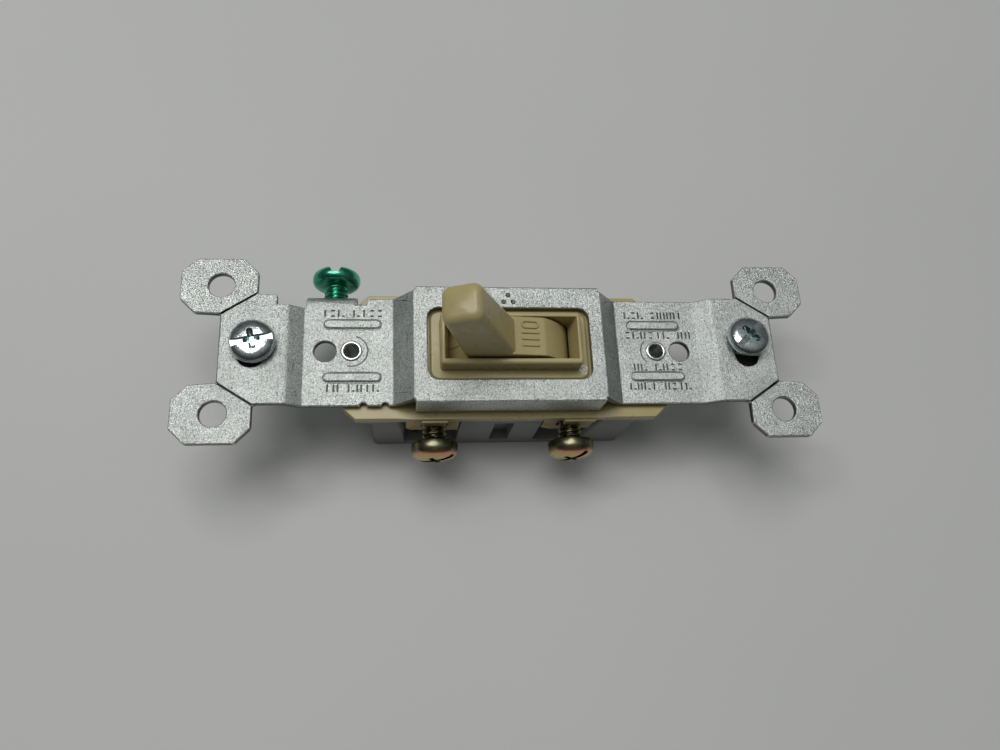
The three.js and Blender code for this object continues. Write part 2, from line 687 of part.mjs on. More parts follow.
// The leg that carries the current from a plate, over the pocket's floor and down into the chamber.
function terminalLeg(side) {
  const { inner, outer, shelf, thickness, footY } = LEG;
  const x = span(side * inner, side * outer);
  const wallY = -CHAMBER.halfY + 2 * FIT;
  const shelfZ = [shelf, shelf + thickness];
  return joinAll(box(x, [PLATE.face, wallY + thickness], shelfZ), [
    box(x, [wallY, wallY + thickness], [LEG_FLOOR, shelf + thickness]),
    box(x, [wallY, footY], [LEG_FLOOR, LEG_FLOOR + thickness]),
  ]);
}

function makeLoadTerminal() {
  const { outer, footX, footY, thickness } = LEG;
  return joinAll(terminalPlate(LOAD), [
    terminalLeg(LOAD.side),
    box([-outer, -footX], [-footY, footY], [LEG_FLOOR, LEG_FLOOR + thickness]),
  ]);
}

// The line terminal's foot carries the blade whose edge the contact arm rocks on.
function makeLineTerminal() {
  const { outer, footY, thickness } = LEG;
  const { halfWidth, edge, shoulderDrop, gap } = BLADE;
  const right = [
    [halfWidth, LEG_FLOOR],
    [halfWidth, ROCKER_Z - shoulderDrop],
    [edge, ROCKER_Z - gap],
  ];
  return joinAll(terminalPlate(LINE), [
    terminalLeg(LINE.side),
    box([-halfWidth, outer], [-footY, footY], [LEG_FLOOR, LEG_FLOOR + thickness]),
    prismY([...right, ...mirrored(right)], -footY, footY),
  ]);
}

// A contact button with a domed face at its upper end, standing on z = 0.
function contactButton() {
  const { radius, height } = CONTACT;
  const dome = [[radius, height - 0.3], [radius * 0.75, height - 0.08], [0, height]];
  return turned([[0, 0], [radius, 0], ...dome], 20);
}

// A leaf that pins a pushed-in wire against the pocket's outer wall, with its hooked free end.
function makeWireClamp() {
  const section = foldedSheet(CLAMP_LINE, -CLAMP.thickness, CLAMP.bend).reverse();
  return prismX(section, -CLAMP.halfX, CLAMP.halfX);
}

// ---------------------------------------------------------------- handle and its works
// The handle stands upright here, about its axis at the origin.
function makeToggle() {
  const { radius, halfWidth } = BARREL;
  const { half, bottom, bore, boreTop } = STEM;
  const start = THREE.MathUtils.radToDeg(Math.atan2(SHOULDER[1], SHOULDER[0]));
  const foot = [[BARREL_FOOT.x, BARREL_FOOT.z], [radius, BARREL_FOOT.sideZ]];
  const right = [...foot, ...arc([0, 0], radius, 0, start, 7), FLAT_ROOT];
  const wall = 1;
  const hollow = [
    [half + HOLLOW.web, -2 * wall],
    [HOLLOW.x, -2 * wall],
    [HOLLOW.x, HOLLOW.sideZ],
    [HOLLOW.topX, HOLLOW.topZ],
    [half + HOLLOW.web, HOLLOW.webZ],
  ];
  let toggle = prismY([...right, ...mirrored(right)], -halfWidth, halfWidth);
  for (const room of [hollow, mirrored(hollow)]) {
    toggle = toggle.subtract(prismY(room, -halfWidth + wall, halfWidth - wall));
  }
  toggle = joinAll(toggle, [
    handleGrip(),
    box([-half, half], [-half, half], [bottom, HANDLE.foot]),
    rodAlongY([0, 0], TRUNNION.radius, -TRUNNION.end, TRUNNION.end),
  ]);
  return toggle.subtract(rod(bore, bottom - PAST, boreTop, 20));
}

// The tapered grip with eased edges and a slightly domed tip.
function handleGrip() {
  const { tip, tipHalfX, rootHalfX, tipHalfY, rootHalfY, root, foot, corner } = HANDLE;
  const steps = [
    { z: foot, x: rootHalfX + 0.3, y: rootHalfY },
    { z: root, x: rootHalfX, y: rootHalfY },
    { z: tip - 1.2, x: tipHalfX, y: tipHalfY },
    { z: tip - 0.6, x: tipHalfX - 0.16, y: tipHalfY - 0.16 },
    { z: tip - 0.2, x: tipHalfX - 0.55, y: tipHalfY - 0.55 },
    { z: tip + 0.05, x: tipHalfX - 1.2, y: tipHalfY - 1.2 },
    { z: tip + 0.15, x: tipHalfX - 2.0, y: tipHalfY - 2.0 },
  ];
  return loft(steps.map(({ z, x, y }) => roundedRectangle(x, y, corner, 3).map(([a, b]) => [a, b, z])));
}

// A closed solid through rings that all have the same number of points, in the same order.
function loft(rings) {
  const count = rings[0].length;
  const index = [];
  for (let ring = 0; ring < rings.length - 1; ring += 1) {
    for (let i = 0; i < count; i += 1) {
      const a = ring * count + i;
      const b = ring * count + ((i + 1) % count);
      index.push(a, b, b + count, a, b + count, a + count);
    }
  }
  const last = (rings.length - 1) * count;
  for (let i = 1; i < count - 1; i += 1) {
    index.push(0, i + 1, i, last, last + i, last + i + 1);
  }
  const geometry = new THREE.BufferGeometry();
  geometry.setAttribute('position', new THREE.Float32BufferAttribute(rings.flat(2), 3));
  geometry.setIndex(index);
  return solid(geometry);
}

function makePlunger() {
  const { radius, nose, top } = PLUNGER;
  const dome = arc([0, -nose + radius], radius, -90, 0, 5).slice(1);
  return turned([[0, -nose], ...dome, [radius, -top], [0, -top]], 20);
}

class Helix extends THREE.Curve {
  constructor(radius, from, to, turns) {
    super();
    Object.assign(this, { radius, from, to, turns });
  }

  getPoint(t, target = new THREE.Vector3()) {
    const angle = 2 * Math.PI * this.turns * t;
    const z = this.from + (this.to - this.from) * t;
    return target.set(this.radius * Math.cos(angle), this.radius * Math.sin(angle), z);
  }
}

function makeSpring() {
  const { radius, wire, bottom, top, turns } = SPRING;
  const section = outline(arc([0, 0], wire, 0, 300, 5));
  const path = new Helix(radius, bottom + wire, top - wire, turns);
  return solid(new THREE.ExtrudeGeometry(section, { steps: turns * 14, extrudePath: path }));
}

// The cradle is hollowed along the plunger's own path, seen from the rocking arm.
function makeCradle() {
  const { halfX, halfY, bottom, top, valleyZ, valleyRadius } = CRADLE;
  const halfValley = THREE.MathUtils.radToDeg(Math.acos((valleyZ - top) / valleyRadius));
  const valley = arc([0, valleyZ], valleyRadius, -90 + halfValley, -90 - halfValley, 8);
  return prismY([[-halfX, bottom], [halfX, bottom], [halfX, top], ...valley, [-halfX, top]], -halfY, halfY);
}

function makeContactArm() {
  const { end, tail, neck, halfWidth, thickness, tipHalfY, cut } = ARM;
  const upper = [[tail, halfWidth], [-neck, halfWidth], [-end + cut, tipHalfY + cut], [-end, tipHalfY]];
  const lower = upper.map(([x, y]) => [x, -y]).reverse();
  return prismZ([...upper, ...lower], 0, thickness);
}

// ---------------------------------------------------------------- screws
// Screws stand on z = 0 under the head, with the head upwards and the shank down.
const POINT = 0.5; // size of the chamfer at a screw's point

function screw({ shank, length }, head) {
  const [[underHead]] = head;
  return turned([
    [0, -length],
    [shank - POINT, -length],
    [shank, -length + POINT],
    [shank, 0],
    [underHead, 0],
    ...head.slice(1),
  ]);
}

function panHead({ radius, height }) {
  return [
    [radius - 0.25, 0],
    [radius, 0.3],
    [radius, height * 0.45],
    [radius * 0.93, height * 0.68],
    [radius * 0.72, height * 0.88],
    [radius * 0.4, height * 0.97],
    [0, height],
  ];
}

function drivingSlot({ radius, height, slotHalf, slotDepth }) {
  return box(span(-radius, radius, PAST), [-slotHalf, slotHalf], [height - slotDepth, height + PAST]);
}

function crossRecess({ height, cross, crossDepth }) {
  const wing = box([-cross, cross], [-0.5, 0.5], [height - crossDepth, height + PAST]);
  return wing.add(wing.rotate([0, 0, 90]));
}

function makeCombinationScrew(size) {
  return cutAll(screw(size, panHead(size)), [drivingSlot(size), crossRecess(size)]);
}

// A thick washer-like head, rounded all over, with a V-shaped driving slot.
function makeGroundScrew() {
  const { radius, height, slotTop, slotFloor, slotDepth } = GROUND_SCREW;
  const head = [
    [radius - 1.3, 0],
    [radius - 0.35, 0.25],
    [radius, 0.9],
    [radius, 1.7],
    [radius - 0.35, 2.3],
    [radius - 0.9, 2.75],
    [0, height],
  ];
  const right = [[slotFloor, height - slotDepth], [slotTop, height + 0.1]];
  const slot = prismY([...right, ...mirrored(right)], -radius - PAST, radius + PAST);
  return screw(GROUND_SCREW, head).subtract(slot);
}

function makeRetainer() {
  const { halfX, halfY, corner, thickness, hole } = RETAINER;
  const plate = prismZ(roundedRectangle(halfX, halfY, corner, 3), -thickness, 0);
  return plate.subtract(rod(hole, -thickness - PAST, PAST));
}

// ---------------------------------------------------------------- assembly
const group = new THREE.Group();

function place(parent, name, body, look, position = [0, 0, 0], rotation = [0, 0, 0]) {
  const piece = mesh(name, body, look);
  piece.position.set(...position);
  piece.rotation.set(...rotation);
  parent.add(piece);
}

place(group, 'strap', makeStrap(), ZINC);
place(group, 'cover', makeCover(), IVORY);
place(group, 'base', makeBase(), DARK_PLASTIC);
place(group, 'rivet_left', makeRivet(), ZINC, [-RIVET.x, 0, 0]);
place(group, 'rivet_right', makeRivet(), ZINC, [RIVET.x, 0, 0]);

const footTop = LEG_FLOOR + LEG.thickness;
place(group, 'load_terminal', makeLoadTerminal(), BRASS);
place(group, 'line_terminal', makeLineTerminal(), BRASS);
place(group, 'fixed_contact', contactButton(), SILVER, [-CONTACT.x, 0, footTop + CONTACT.gap]);
place(group, 'load_wire_clamp', makeWireClamp(), SPRING_STEEL, [-WIRE.x, 0, 0]);
place(group, 'line_wire_clamp', makeWireClamp(), SPRING_STEEL, [WIRE.x, 0, 0]);

const handle = new THREE.Group();
handle.position.set(0, 0, PIVOT_Z);
handle.rotation.y = -LEAN;
place(handle, 'toggle', makeToggle(), IVORY);
place(handle, 'toggle_spring', makeSpring(), SPRING_STEEL);
place(handle, 'spring_plunger', makePlunger(), SPRING_STEEL);
group.add(handle);

const rocker = new THREE.Group();
rocker.position.set(0, 0, ROCKER_Z);
rocker.rotation.y = ROCK;
place(rocker, 'rocker_cradle', makeCradle(), DARK_PLASTIC);
place(rocker, 'contact_arm', makeContactArm(), BRASS);
place(rocker, 'moving_contact', contactButton(), SILVER, [-CONTACT.x, 0, -CONTACT.gap], [Math.PI, 0, 0]);
group.add(rocker);

for (const [name, { screwX, turn }] of [['load_screw', LOAD], ['line_screw', LINE]]) {
  const seat = [screwX, -TERMINAL_SCREW.underHead, TERMINAL_SCREW.z];
  place(group, name, makeCombinationScrew(TERMINAL_SCREW), CHROMATE, seat, [Math.PI / 2, 0, turn]);
}

const groundSeat = [GROUND_SCREW.x, GROUND_SCREW.underHead, GROUND_SCREW.z];
place(group, 'ground_screw', makeGroundScrew(), GREEN, groundSeat, [-Math.PI / 2, 0, 0]);

const sheetTop = STRAP.top + STRAP.endRise;
const retainerTop = sheetTop - STRAP.thickness - RETAINER.drop;
for (const { side, x, y, lift, tilt, turn } of BOX_SCREWS) {
  const holder = new THREE.Group();
  holder.position.set(x, y, sheetTop + lift);
  holder.rotation.x = tilt;
  place(holder, `mounting_screw_${side}`, makeCombinationScrew(BOX_SCREW), ZINC, [0, 0, 0], [0, 0, turn]);
  group.add(holder);
  const retainerSeat = [x, y + RETAINER_LEVER * Math.sin(tilt), retainerTop];
  place(group, `screw_retainer_${side}`, makeRetainer(), FIBRE, retainerSeat);
}

export default group;
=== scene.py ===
"""Looks for the toggle wall switch: zinc-plated strap, ivory cover and handle, dark base, and screws
with real threads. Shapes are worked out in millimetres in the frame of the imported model, +Z out of
the wall and +X the ON end, and turned into metres when a piece is finished."""
import json
import math
import random

import bmesh
import bpy
from mathutils import Matrix, Vector


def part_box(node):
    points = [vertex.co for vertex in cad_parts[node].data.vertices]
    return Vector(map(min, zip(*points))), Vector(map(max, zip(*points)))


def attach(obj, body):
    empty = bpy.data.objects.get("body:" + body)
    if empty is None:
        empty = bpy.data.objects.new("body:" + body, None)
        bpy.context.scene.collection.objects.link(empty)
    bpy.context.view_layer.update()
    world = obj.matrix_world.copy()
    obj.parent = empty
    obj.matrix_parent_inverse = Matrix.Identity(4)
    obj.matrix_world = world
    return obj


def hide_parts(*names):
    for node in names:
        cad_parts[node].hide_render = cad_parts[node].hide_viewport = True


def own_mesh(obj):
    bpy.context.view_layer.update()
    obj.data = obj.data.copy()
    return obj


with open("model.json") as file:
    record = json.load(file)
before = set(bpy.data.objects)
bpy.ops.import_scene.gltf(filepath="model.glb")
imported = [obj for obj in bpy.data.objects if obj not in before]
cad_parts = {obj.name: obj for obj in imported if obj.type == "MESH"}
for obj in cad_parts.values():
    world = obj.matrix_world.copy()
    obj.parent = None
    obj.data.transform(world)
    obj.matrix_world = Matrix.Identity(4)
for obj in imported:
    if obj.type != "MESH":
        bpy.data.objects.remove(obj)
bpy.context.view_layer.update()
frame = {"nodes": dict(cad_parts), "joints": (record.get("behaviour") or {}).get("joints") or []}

MM = 0.001
NODES = frame["nodes"]
JOINTS = {joint["name"]: joint for joint in frame["joints"]}
SCENE = bpy.context.scene


def box_mm(node):
    low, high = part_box(node)
    return low / MM, high / MM


# ------------------------------------------------------------------ sizes, in millimetres
STRAP_LOW, STRAP_HIGH = box_mm("strap")
SHEET = 1.3  # thickness of the strap
PLATEAU_TOP = STRAP_HIGH.z
LOW_TOP = PLATEAU_TOP - 4.0  # top of the sections that hold the rivets
END_TOP = LOW_TOP + 1.57
SKIRT = {"half_length": 15.5, "outer": 10.1, "inner": 10.1 - SHEET}
TAB = {"x0": -33.4, "x1": -25.07, "outer": 10.1, "inner": 10.1 - SHEET}
EAR_SCORE_X = 40.0  # outward of this, whatever is not level is a cut edge or a score line
RIVET_X = (box_mm("rivet_right")[0].x + box_mm("rivet_right")[1].x) / 2

PIVOT = Vector(JOINTS["handle_swing"]["pos_m"]) / MM
LEAN = math.radians(JOINTS["handle_swing"]["range_deg"][1]) / 2
HANDLE = {"tip": 24.8, "tip_x": 3.15, "tip_y": 3.05, "root": 9.0, "root_x": 4.05, "root_y": 3.3, "foot": 4.0,
          "flare": 0.3, "root_corner": 1.0, "tip_corner": 1.4, "tip_round": 1.25, "dome": 0.2}
BARREL = {"radius": 10.8, "half": 3.3, "shoulder": (8.48, 6.66), "flat_root": (3.7, 9.29)}
STEM = {"half": 2.6, "bottom": -5.6, "bore": 1.6, "bore_top": 1.6}
SPRING = {"radius": 1.15, "wire": 0.22, "bottom": -4.5, "top": 1.35, "turns": 7}
PLUNGER = {"radius": 1.35, "nose": -8.6, "top": -4.7}
PIN = {"radius": 2.0, "end": 5.6, "ease": 0.25}  # the pins that the handle swings on
RIVET = {"bore": 1.15, "shank": 1.5, "flange": 1.78, "rise": 0.25, "foot": 2.3, "foot_height": 0.7,
         "foot_round": 0.35}
PITCH = 0.794  # 32 threads to the inch
TERMINAL_SCREW = {"head": 3.95, "height": 3.0, "shank": 2.05, "length": 5.7}
GROUND_SCREW = {"head": 4.1, "height": 3.0, "shank": 2.05, "length": 7.5, "notch": (0.55, 1.3),
                "notch_depth": 1.8}
BOX_SCREW = {"head": 3.6, "height": 2.0, "shank": 1.66, "length": 15.5}
WIRE_HOLE = {"x": 15.5, "y": -7.9}
POCKET_ENDS = (-17.2, 15.4)  # outer ends of the two terminal pockets
POCKET_ROUND = 1.3


# ------------------------------------------------------------------ mesh tools, in millimetres
def loft(rings, closed=False):
    """A closed skin through rings with equal point counts; a ring of one point is a pole."""
    bm = bmesh.new()
    made = [[bm.verts.new(point) for point in ring] for ring in rings]
    pairs = list(zip(made, made[1:] + made[:1])) if closed else list(zip(made, made[1:]))
    for lower, upper in pairs:
        count = max(len(lower), len(upper))
        for i in range(count):
            j = (i + 1) % count
            below = [lower[i % len(lower)], lower[j % len(lower)]]
            above = [upper[j % len(upper)], upper[i % len(upper)]]
            bm.faces.new(list(dict.fromkeys(below + above)))
    if not closed:
        for ring in (made[0], made[-1]):
            if len(ring) > 2:
                bm.faces.new(ring)
    bmesh.ops.recalc_face_normals(bm, faces=bm.faces)
    return bm


def circle(radius, z, count):
    if radius < 1e-6:
        return [Vector((0, 0, z))]
    angles = (2 * math.pi * i / count for i in range(count))
    return [Vector((radius * math.cos(a), radius * math.sin(a), z)) for a in angles]


def lathe(profile, count=64):
    return loft([circle(radius, z, count) for radius, z in profile])


def prism(points, low, high):
    """An outline of X and Z, pushed along Y."""
    return loft([[Vector((x, y, z)) for x, z in points] for y in (low, high)])


def block(x, y, z):
    outline = ((x[0], y[0]), (x[1], y[0]), (x[1], y[1]), (x[0], y[1]))
    return loft([[Vector((a, b, level)) for a, b in outline] for level in z])


def arc(centre, radius, start, end, steps):
    """Points of an arc, with angles in degrees."""
    angles = [math.radians(start + (end - start) * i / steps) for i in range(steps + 1)]
    return [(centre[0] + radius * math.cos(a), centre[1] + radius * math.sin(a)) for a in angles]


def rounded_rectangle(half_x, half_y, radius, steps=6):
    points = []
    for sx, sy, start in ((1, 1, 0), (-1, 1, 90), (-1, -1, 180), (1, -1, 270)):
        centre = (sx * (half_x - radius), sy * (half_y - radius))
        points += arc(centre, radius, start, start + 90, steps)
    return points


def mirrored(points):
    return [(-a, b) for a, b in reversed(points)]


def merged(parts):
    """One bmesh that holds several, which are used up."""
    whole = bmesh.new()
    for part in parts:
        mesh = bpy.data.meshes.new("part")
        part.to_mesh(mesh)
        part.free()
        whole.from_mesh(mesh)
        bpy.data.meshes.remove(mesh)
    return whole


def moved(bm, matrix):
    bmesh.ops.transform(bm, matrix=matrix, verts=bm.verts)
    return bm


def painted(bm, index):
    """Gives every face a material index."""
    for face in bm.faces:
        face.material_index = index
    return bm


def temporary(bm, name):
    """An object for a boolean, with room for four materials."""
    mesh = bpy.data.meshes.new(name)
    bm.to_mesh(mesh)
    bm.free()
    for _ in range(4):
        mesh.materials.append(None)
    made = bpy.data.objects.new(name, mesh)
    SCENE.collection.objects.link(made)
    return made


def combine(bm, tool, operation="DIFFERENCE"):
    """Cuts one bmesh with another, or joins the two. Both are used up."""
    target, cutter = temporary(bm, "target"), temporary(tool, "cutter")
    modifier = target.modifiers.new("combine", "BOOLEAN")
    modifier.operation = operation
    modifier.solver = "EXACT"
    modifier.object = cutter
    result = bmesh.new()
    result.from_object(target, bpy.context.evaluated_depsgraph_get())
    for spent in (target, cutter):
        mesh = spent.data
        bpy.data.objects.remove(spent)
        bpy.data.meshes.remove(mesh)
    return result


def tidied(bm, weld=0.02, flat=0.6):
    """Welds a faceted solid and clears the edges that cross its flat faces."""
    bmesh.ops.remove_doubles(bm, verts=bm.verts, dist=weld)
    bmesh.ops.dissolve_limit(bm, angle_limit=math.radians(flat), verts=bm.verts, edges=bm.edges)
    return bm


def cad_copy(node):
    """A CAD node's mesh in millimetres."""
    bm = bmesh.new()
    bm.from_mesh(NODES[node].data)
    bmesh.ops.scale(bm, vec=(1 / MM, 1 / MM, 1 / MM), verts=bm.verts)
    return painted(tidied(bm), 0)


def eased(bm, width, least=28, segments=2, keep=(), paint=-1):
    """Rounds every edge that turns by more than the least angle, in degrees, but not on faces of the
    material indexes to keep. The rounding takes the material index to paint, or its neighbours'."""
    low, high = (Vector(bound(v.co[i] for v in bm.verts) for i in range(3)) for bound in (min, max))
    edges = [e for e in bm.edges if e.is_manifold and e.calc_face_angle(0) > math.radians(least)
             and all(face.material_index not in keep for face in e.link_faces)]
    bmesh.ops.bevel(bm, geom=edges, offset=width, offset_type="OFFSET", segments=segments, profile=0.5,
                    affect="EDGES", clamp_overlap=False, material=paint, loop_slide=True)
    for vert in bm.verts:
        vert.co = Vector(min(max(c, a), b) for c, a, b in zip(vert.co, low, high))
    return bm


def finish_piece(bm, name, body, materials, replaced=(), place=None, crease=35):
    """Turns a bmesh in millimetres into a shown piece that rides on a body."""
    mesh = bpy.data.meshes.new(name)
    bm.to_mesh(mesh)
    bm.free()
    mesh.transform(Matrix.Scale(MM, 4))
    for material in materials:
        mesh.materials.append(material)
    mesh.shade_smooth()
    mesh.set_sharp_from_angle(angle=math.radians(crease))
    piece = bpy.data.objects.new(name, mesh)
    SCENE.collection.objects.link(piece)
    even = piece.modifiers.new("even shading", "WEIGHTED_NORMAL")
    even.keep_sharp = True
    if place is not None:
        piece.matrix_world = place
    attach(piece, body)
    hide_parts(*replaced)
    return piece


def dress_node(node, material, edge):
    """Keeps a CAD node's shape: eases its edges and gives it a material."""
    piece = NODES[node]
    piece.data.materials.clear()
    piece.data.materials.append(material)
    weld = piece.modifiers.new("weld", "WELD")
    weld.merge_threshold = 0.005 * MM
    bevel = piece.modifiers.new("eased edges", "BEVEL")
    bevel.width = edge * MM
    bevel.segments = 2
    bevel.limit_method = "ANGLE"
    bevel.angle_limit = math.radians(30)
    bevel.use_clamp_overlap = True


def upright(matrix_mm):
    """A placing matrix in metres from one whose translation is in millimetres."""
    placed = matrix_mm.copy()
    placed.translation *= MM
    return placed


HANDLE_PLACE = Matrix.Translation(PIVOT) @ Matrix.Rotation(-LEAN, 4, "Y")


def seat(joint, turn):
    """Where a screw stands: its joint's place, with +Z along the joint's axis."""
    ax, ay, az = JOINTS[joint]["axis"]
    tilt = Matrix.Rotation(math.atan2(-ay, az), 4, "X")
    return Matrix.Translation(JOINTS[joint]["pos_m"]) @ tilt @ Matrix.Rotation(turn, 4, "Z")


# ------------------------------------------------------------------ material tools
class Graph:
    """A material's node tree, written as calls that return sockets. Lengths are in millimetres."""

    def __init__(self, name):
        self.material = bpy.data.materials.new(name)
        self.material.use_nodes = True
        self.tree = self.material.node_tree
        self.tree.nodes.clear()
        place = self.node("ShaderNodeTexCoord").outputs["Object"]
        self.place = self.node("ShaderNodeVectorMath", {0: place, 3: 1 / MM}, operation="SCALE").outputs[0]

    def node(self, kind, inputs=None, **settings):
        made = self.tree.nodes.new(kind)
        for key, value in settings.items():
            setattr(made, key, value)
        for key, value in (inputs or {}).items():
            self.feed(made.inputs[key], value)
        return made

    def feed(self, socket, value):
        if isinstance(value, bpy.types.NodeSocket):
            self.tree.links.new(value, socket)
        elif socket.type == "RGBA" and len(value) == 3:
            socket.default_value = (*value, 1)
        else:
            socket.default_value = value

    def math(self, operation, a, b):
        return self.node("ShaderNodeMath", {0: a, 1: b}, operation=operation).outputs[0]

    def mix(self, share, a, b):
        return self.node("ShaderNodeMix", {0: share, 6: a, 7: b}, data_type="RGBA").outputs[2]

    def between(self, share, a, b):
        """A number that goes from a to b."""
        return self.node("ShaderNodeMapRange", {0: share, 3: a, 4: b}).outputs[0]

    def step(self, value, low, high):
        """0 below low, 1 above high, smooth between them."""
        made = self.node("ShaderNodeMapRange", {0: value, 1: low, 2: high}, interpolation_type="SMOOTHSTEP")
        return made.outputs[0]

    def noise(self, size, detail=2.0, roughness=0.55, stretch=(1, 1, 1), shift=0.0, distortion=0.0):
        """Noise whose features are about size across, drawn out along the axes by stretch."""
        scaled = [1 / (size * s) for s in stretch]
        offset = (shift, shift * 0.7, -shift)
        place = self.node("ShaderNodeMapping", {0: self.place, 1: offset, 3: scaled}).outputs[0]
        made = self.node("ShaderNodeTexNoise", {"Vector": place, "Scale": 1.0, "Detail": detail,
                                                "Roughness": roughness, "Distortion": distortion})
        return made.outputs["Fac"]

    def upward(self, low, high):
        """0 on a screw's shank and the sides of its head, 1 on its driving face."""
        places = self.node("ShaderNodeTexCoord").outputs
        tilt = self.node("ShaderNodeSeparateXYZ", {0: places["Normal"]}).outputs[2]
        level = self.node("ShaderNodeSeparateXYZ", {0: places["Object"]}).outputs[2]
        return self.math("MULTIPLY", self.step(tilt, low, high), self.step(level, 0.0, 0.3 * MM))

    def facing(self, blend):
        return self.node("ShaderNodeLayerWeight", {0: blend}).outputs["Facing"]

    def corners(self, distance, low, high):
        """1 in corners and recesses, 0 in the open, from ambient occlusion: the mask for painted shade."""
        open_sky = self.node("ShaderNodeAmbientOcclusion", {"Distance": distance * MM}, samples=4).outputs["AO"]
        return self.math("SUBTRACT", 1.0, self.step(open_sky, low, high))

    def ramp(self, value, stops):
        made = self.node("ShaderNodeValToRGB", {0: value})
        elements = made.color_ramp.elements
        while len(elements) < len(stops):
            elements.new(0.5)
        for element, (position, colour) in zip(elements, stops):
            element.position = position
            element.color = (*colour, 1)
        return made.outputs[0]

    def bump(self, height, depth, normal=None):
        inputs = {"Height": height, "Distance": depth * MM, "Strength": 1.0}
        if normal is not None:
            inputs["Normal"] = normal
        return self.node("ShaderNodeBump", inputs).outputs[0]

    def surface(self, **inputs):
        names = {key: key.replace("_", " ") for key in inputs}
        shader = self.node("ShaderNodeBsdfPrincipled")
        for key, value in inputs.items():
            self.feed(shader.inputs[names[key]], value)
        out = self.node("ShaderNodeOutputMaterial")
        self.tree.links.new(shader.outputs[0], out.inputs[0])
        return self.material


# ------------------------------------------------------------------ materials
def zinc_sheet(name, tint, corner_shade, stamped=0.0):
    """Zinc-plated steel sheet: a fine bright grain with dark specks, patches and drawn streaks, and painted
    shade in corners and recesses.
    """
    g = Graph(name)
    grain = g.noise(0.26, detail=3, roughness=0.75)
    specks = g.step(g.noise(0.24, detail=4, roughness=0.85, stretch=(1, 2.2, 1), shift=3.1), 0.52, 0.64)
    fine = g.step(g.noise(0.18, detail=2, roughness=0.7, shift=12.0), 0.38, 0.60)
    patches = g.noise(4.5, detail=3, shift=7.7)
    streaks = g.step(g.noise(0.5, detail=3, roughness=0.6, stretch=(1, 7, 7), shift=1.7), 0.60, 0.78)
    tone = g.mix(g.step(patches, 0.35, 0.7), tint, tuple(c * 0.86 for c in tint))
    tone = g.mix(g.between(fine, 0.62, 0.0), tone, (0.20, 0.22, 0.215))
    tone = g.mix(g.math("MULTIPLY", specks, 0.8), tone, (0.13, 0.14, 0.135))
    tone = g.mix(g.math("MULTIPLY", streaks, 0.5), tone, (0.13, 0.135, 0.13))
    # Painted shade: corners and recesses are darkened towards near-black by ambient occlusion.
    corner = g.corners(1.2, 0.25, 0.85)
    tone = g.mix(g.math("MULTIPLY", corner, corner_shade), tone, (0.05, 0.05, 0.05))
    # Painted shade in the grooves of the stamped marks and score lines; on sheared edges this only darkens the
    # cut steel.
    if stamped:
        tone = g.mix(stamped, tone, (0.04, 0.042, 0.045))
    rough = g.between(patches, 0.26, 0.38)
    rough = g.math("ADD", rough, g.math("MULTIPLY", specks, 0.18))
    normal = g.bump(g.noise(1.4, detail=2, shift=5.0), 0.02)
    normal = g.bump(grain, 0.14, normal)
    return g.surface(Base_Color=tone, Metallic=1.0, Roughness=rough, Normal=normal)


def moulded(name, colour, speck_and_corner_shade, light, rough, soft, grain=0.006):
    """Moulded plastic: a faint grain, hairline scratches, dark specks, painted shade in the corners and paler
    rubbed spots.
    """
    g = Graph(name)
    cloud = g.noise(5.0, detail=3)
    tone = g.mix(g.step(cloud, 0.3, 0.75), colour, tuple(c * 0.9 for c in colour))
    scratches = g.step(g.noise(0.35, detail=2, stretch=(14, 1, 3), shift=4.0), 0.70, 0.76)
    tone = g.mix(g.math("MULTIPLY", scratches, 0.16), tone, light)
    specks = g.step(g.noise(0.22, detail=1, shift=9.0), 0.77, 0.80)
    tone = g.mix(g.math("MULTIPLY", specks, 0.5), tone, speck_and_corner_shade)
    # Painted shade: corners and recesses are darkened by ambient occlusion; the same dark colour serves the
    # specks.
    corner = g.corners(1.6, 0.2, 0.8)
    tone = g.mix(g.math("MULTIPLY", corner, 0.45), tone, speck_and_corner_shade)
    rough_map = g.between(g.noise(2.2, detail=4, shift=2.0), rough - 0.07, rough + 0.09)
    normal = g.bump(g.noise(0.18, detail=2, shift=6.0), grain)
    normal = g.bump(g.noise(3.0, detail=1, shift=8.0), 0.02, normal)
    return g.surface(Base_Color=tone, Roughness=rough_map, Normal=normal, Subsurface_Weight=soft,
                     Subsurface_Radius=(1.0, 0.8, 0.45), Subsurface_Scale=0.9 * MM, IOR=1.5)


def broken_plastic():
    """The whitish, grainy face of a chip in the ivory plastic."""
    g = Graph("broken_plastic")
    tone = g.ramp(g.noise(0.3, detail=4), [(0.38, (0.36, 0.32, 0.20)), (0.60, (0.80, 0.77, 0.66))])
    normal = g.bump(g.noise(0.25, detail=3), 0.05)
    return g.surface(Base_Color=tone, Roughness=0.75, Normal=normal)


def brass():
    """Drawn brass strip with patches of tarnish."""
    g = Graph("brass")
    tarnish = g.step(g.noise(2.5, detail=5, roughness=0.65), 0.40, 0.72)
    tone = g.mix(tarnish, (0.52, 0.38, 0.17), (0.30, 0.22, 0.10))
    drawn = g.noise(0.12, detail=2, stretch=(12, 1, 1))
    rough = g.math("ADD", g.between(tarnish, 0.26, 0.46), g.math("MULTIPLY", drawn, 0.06))
    return g.surface(Base_Color=tone, Metallic=1.0, Roughness=rough, Normal=g.bump(drawn, 0.01))


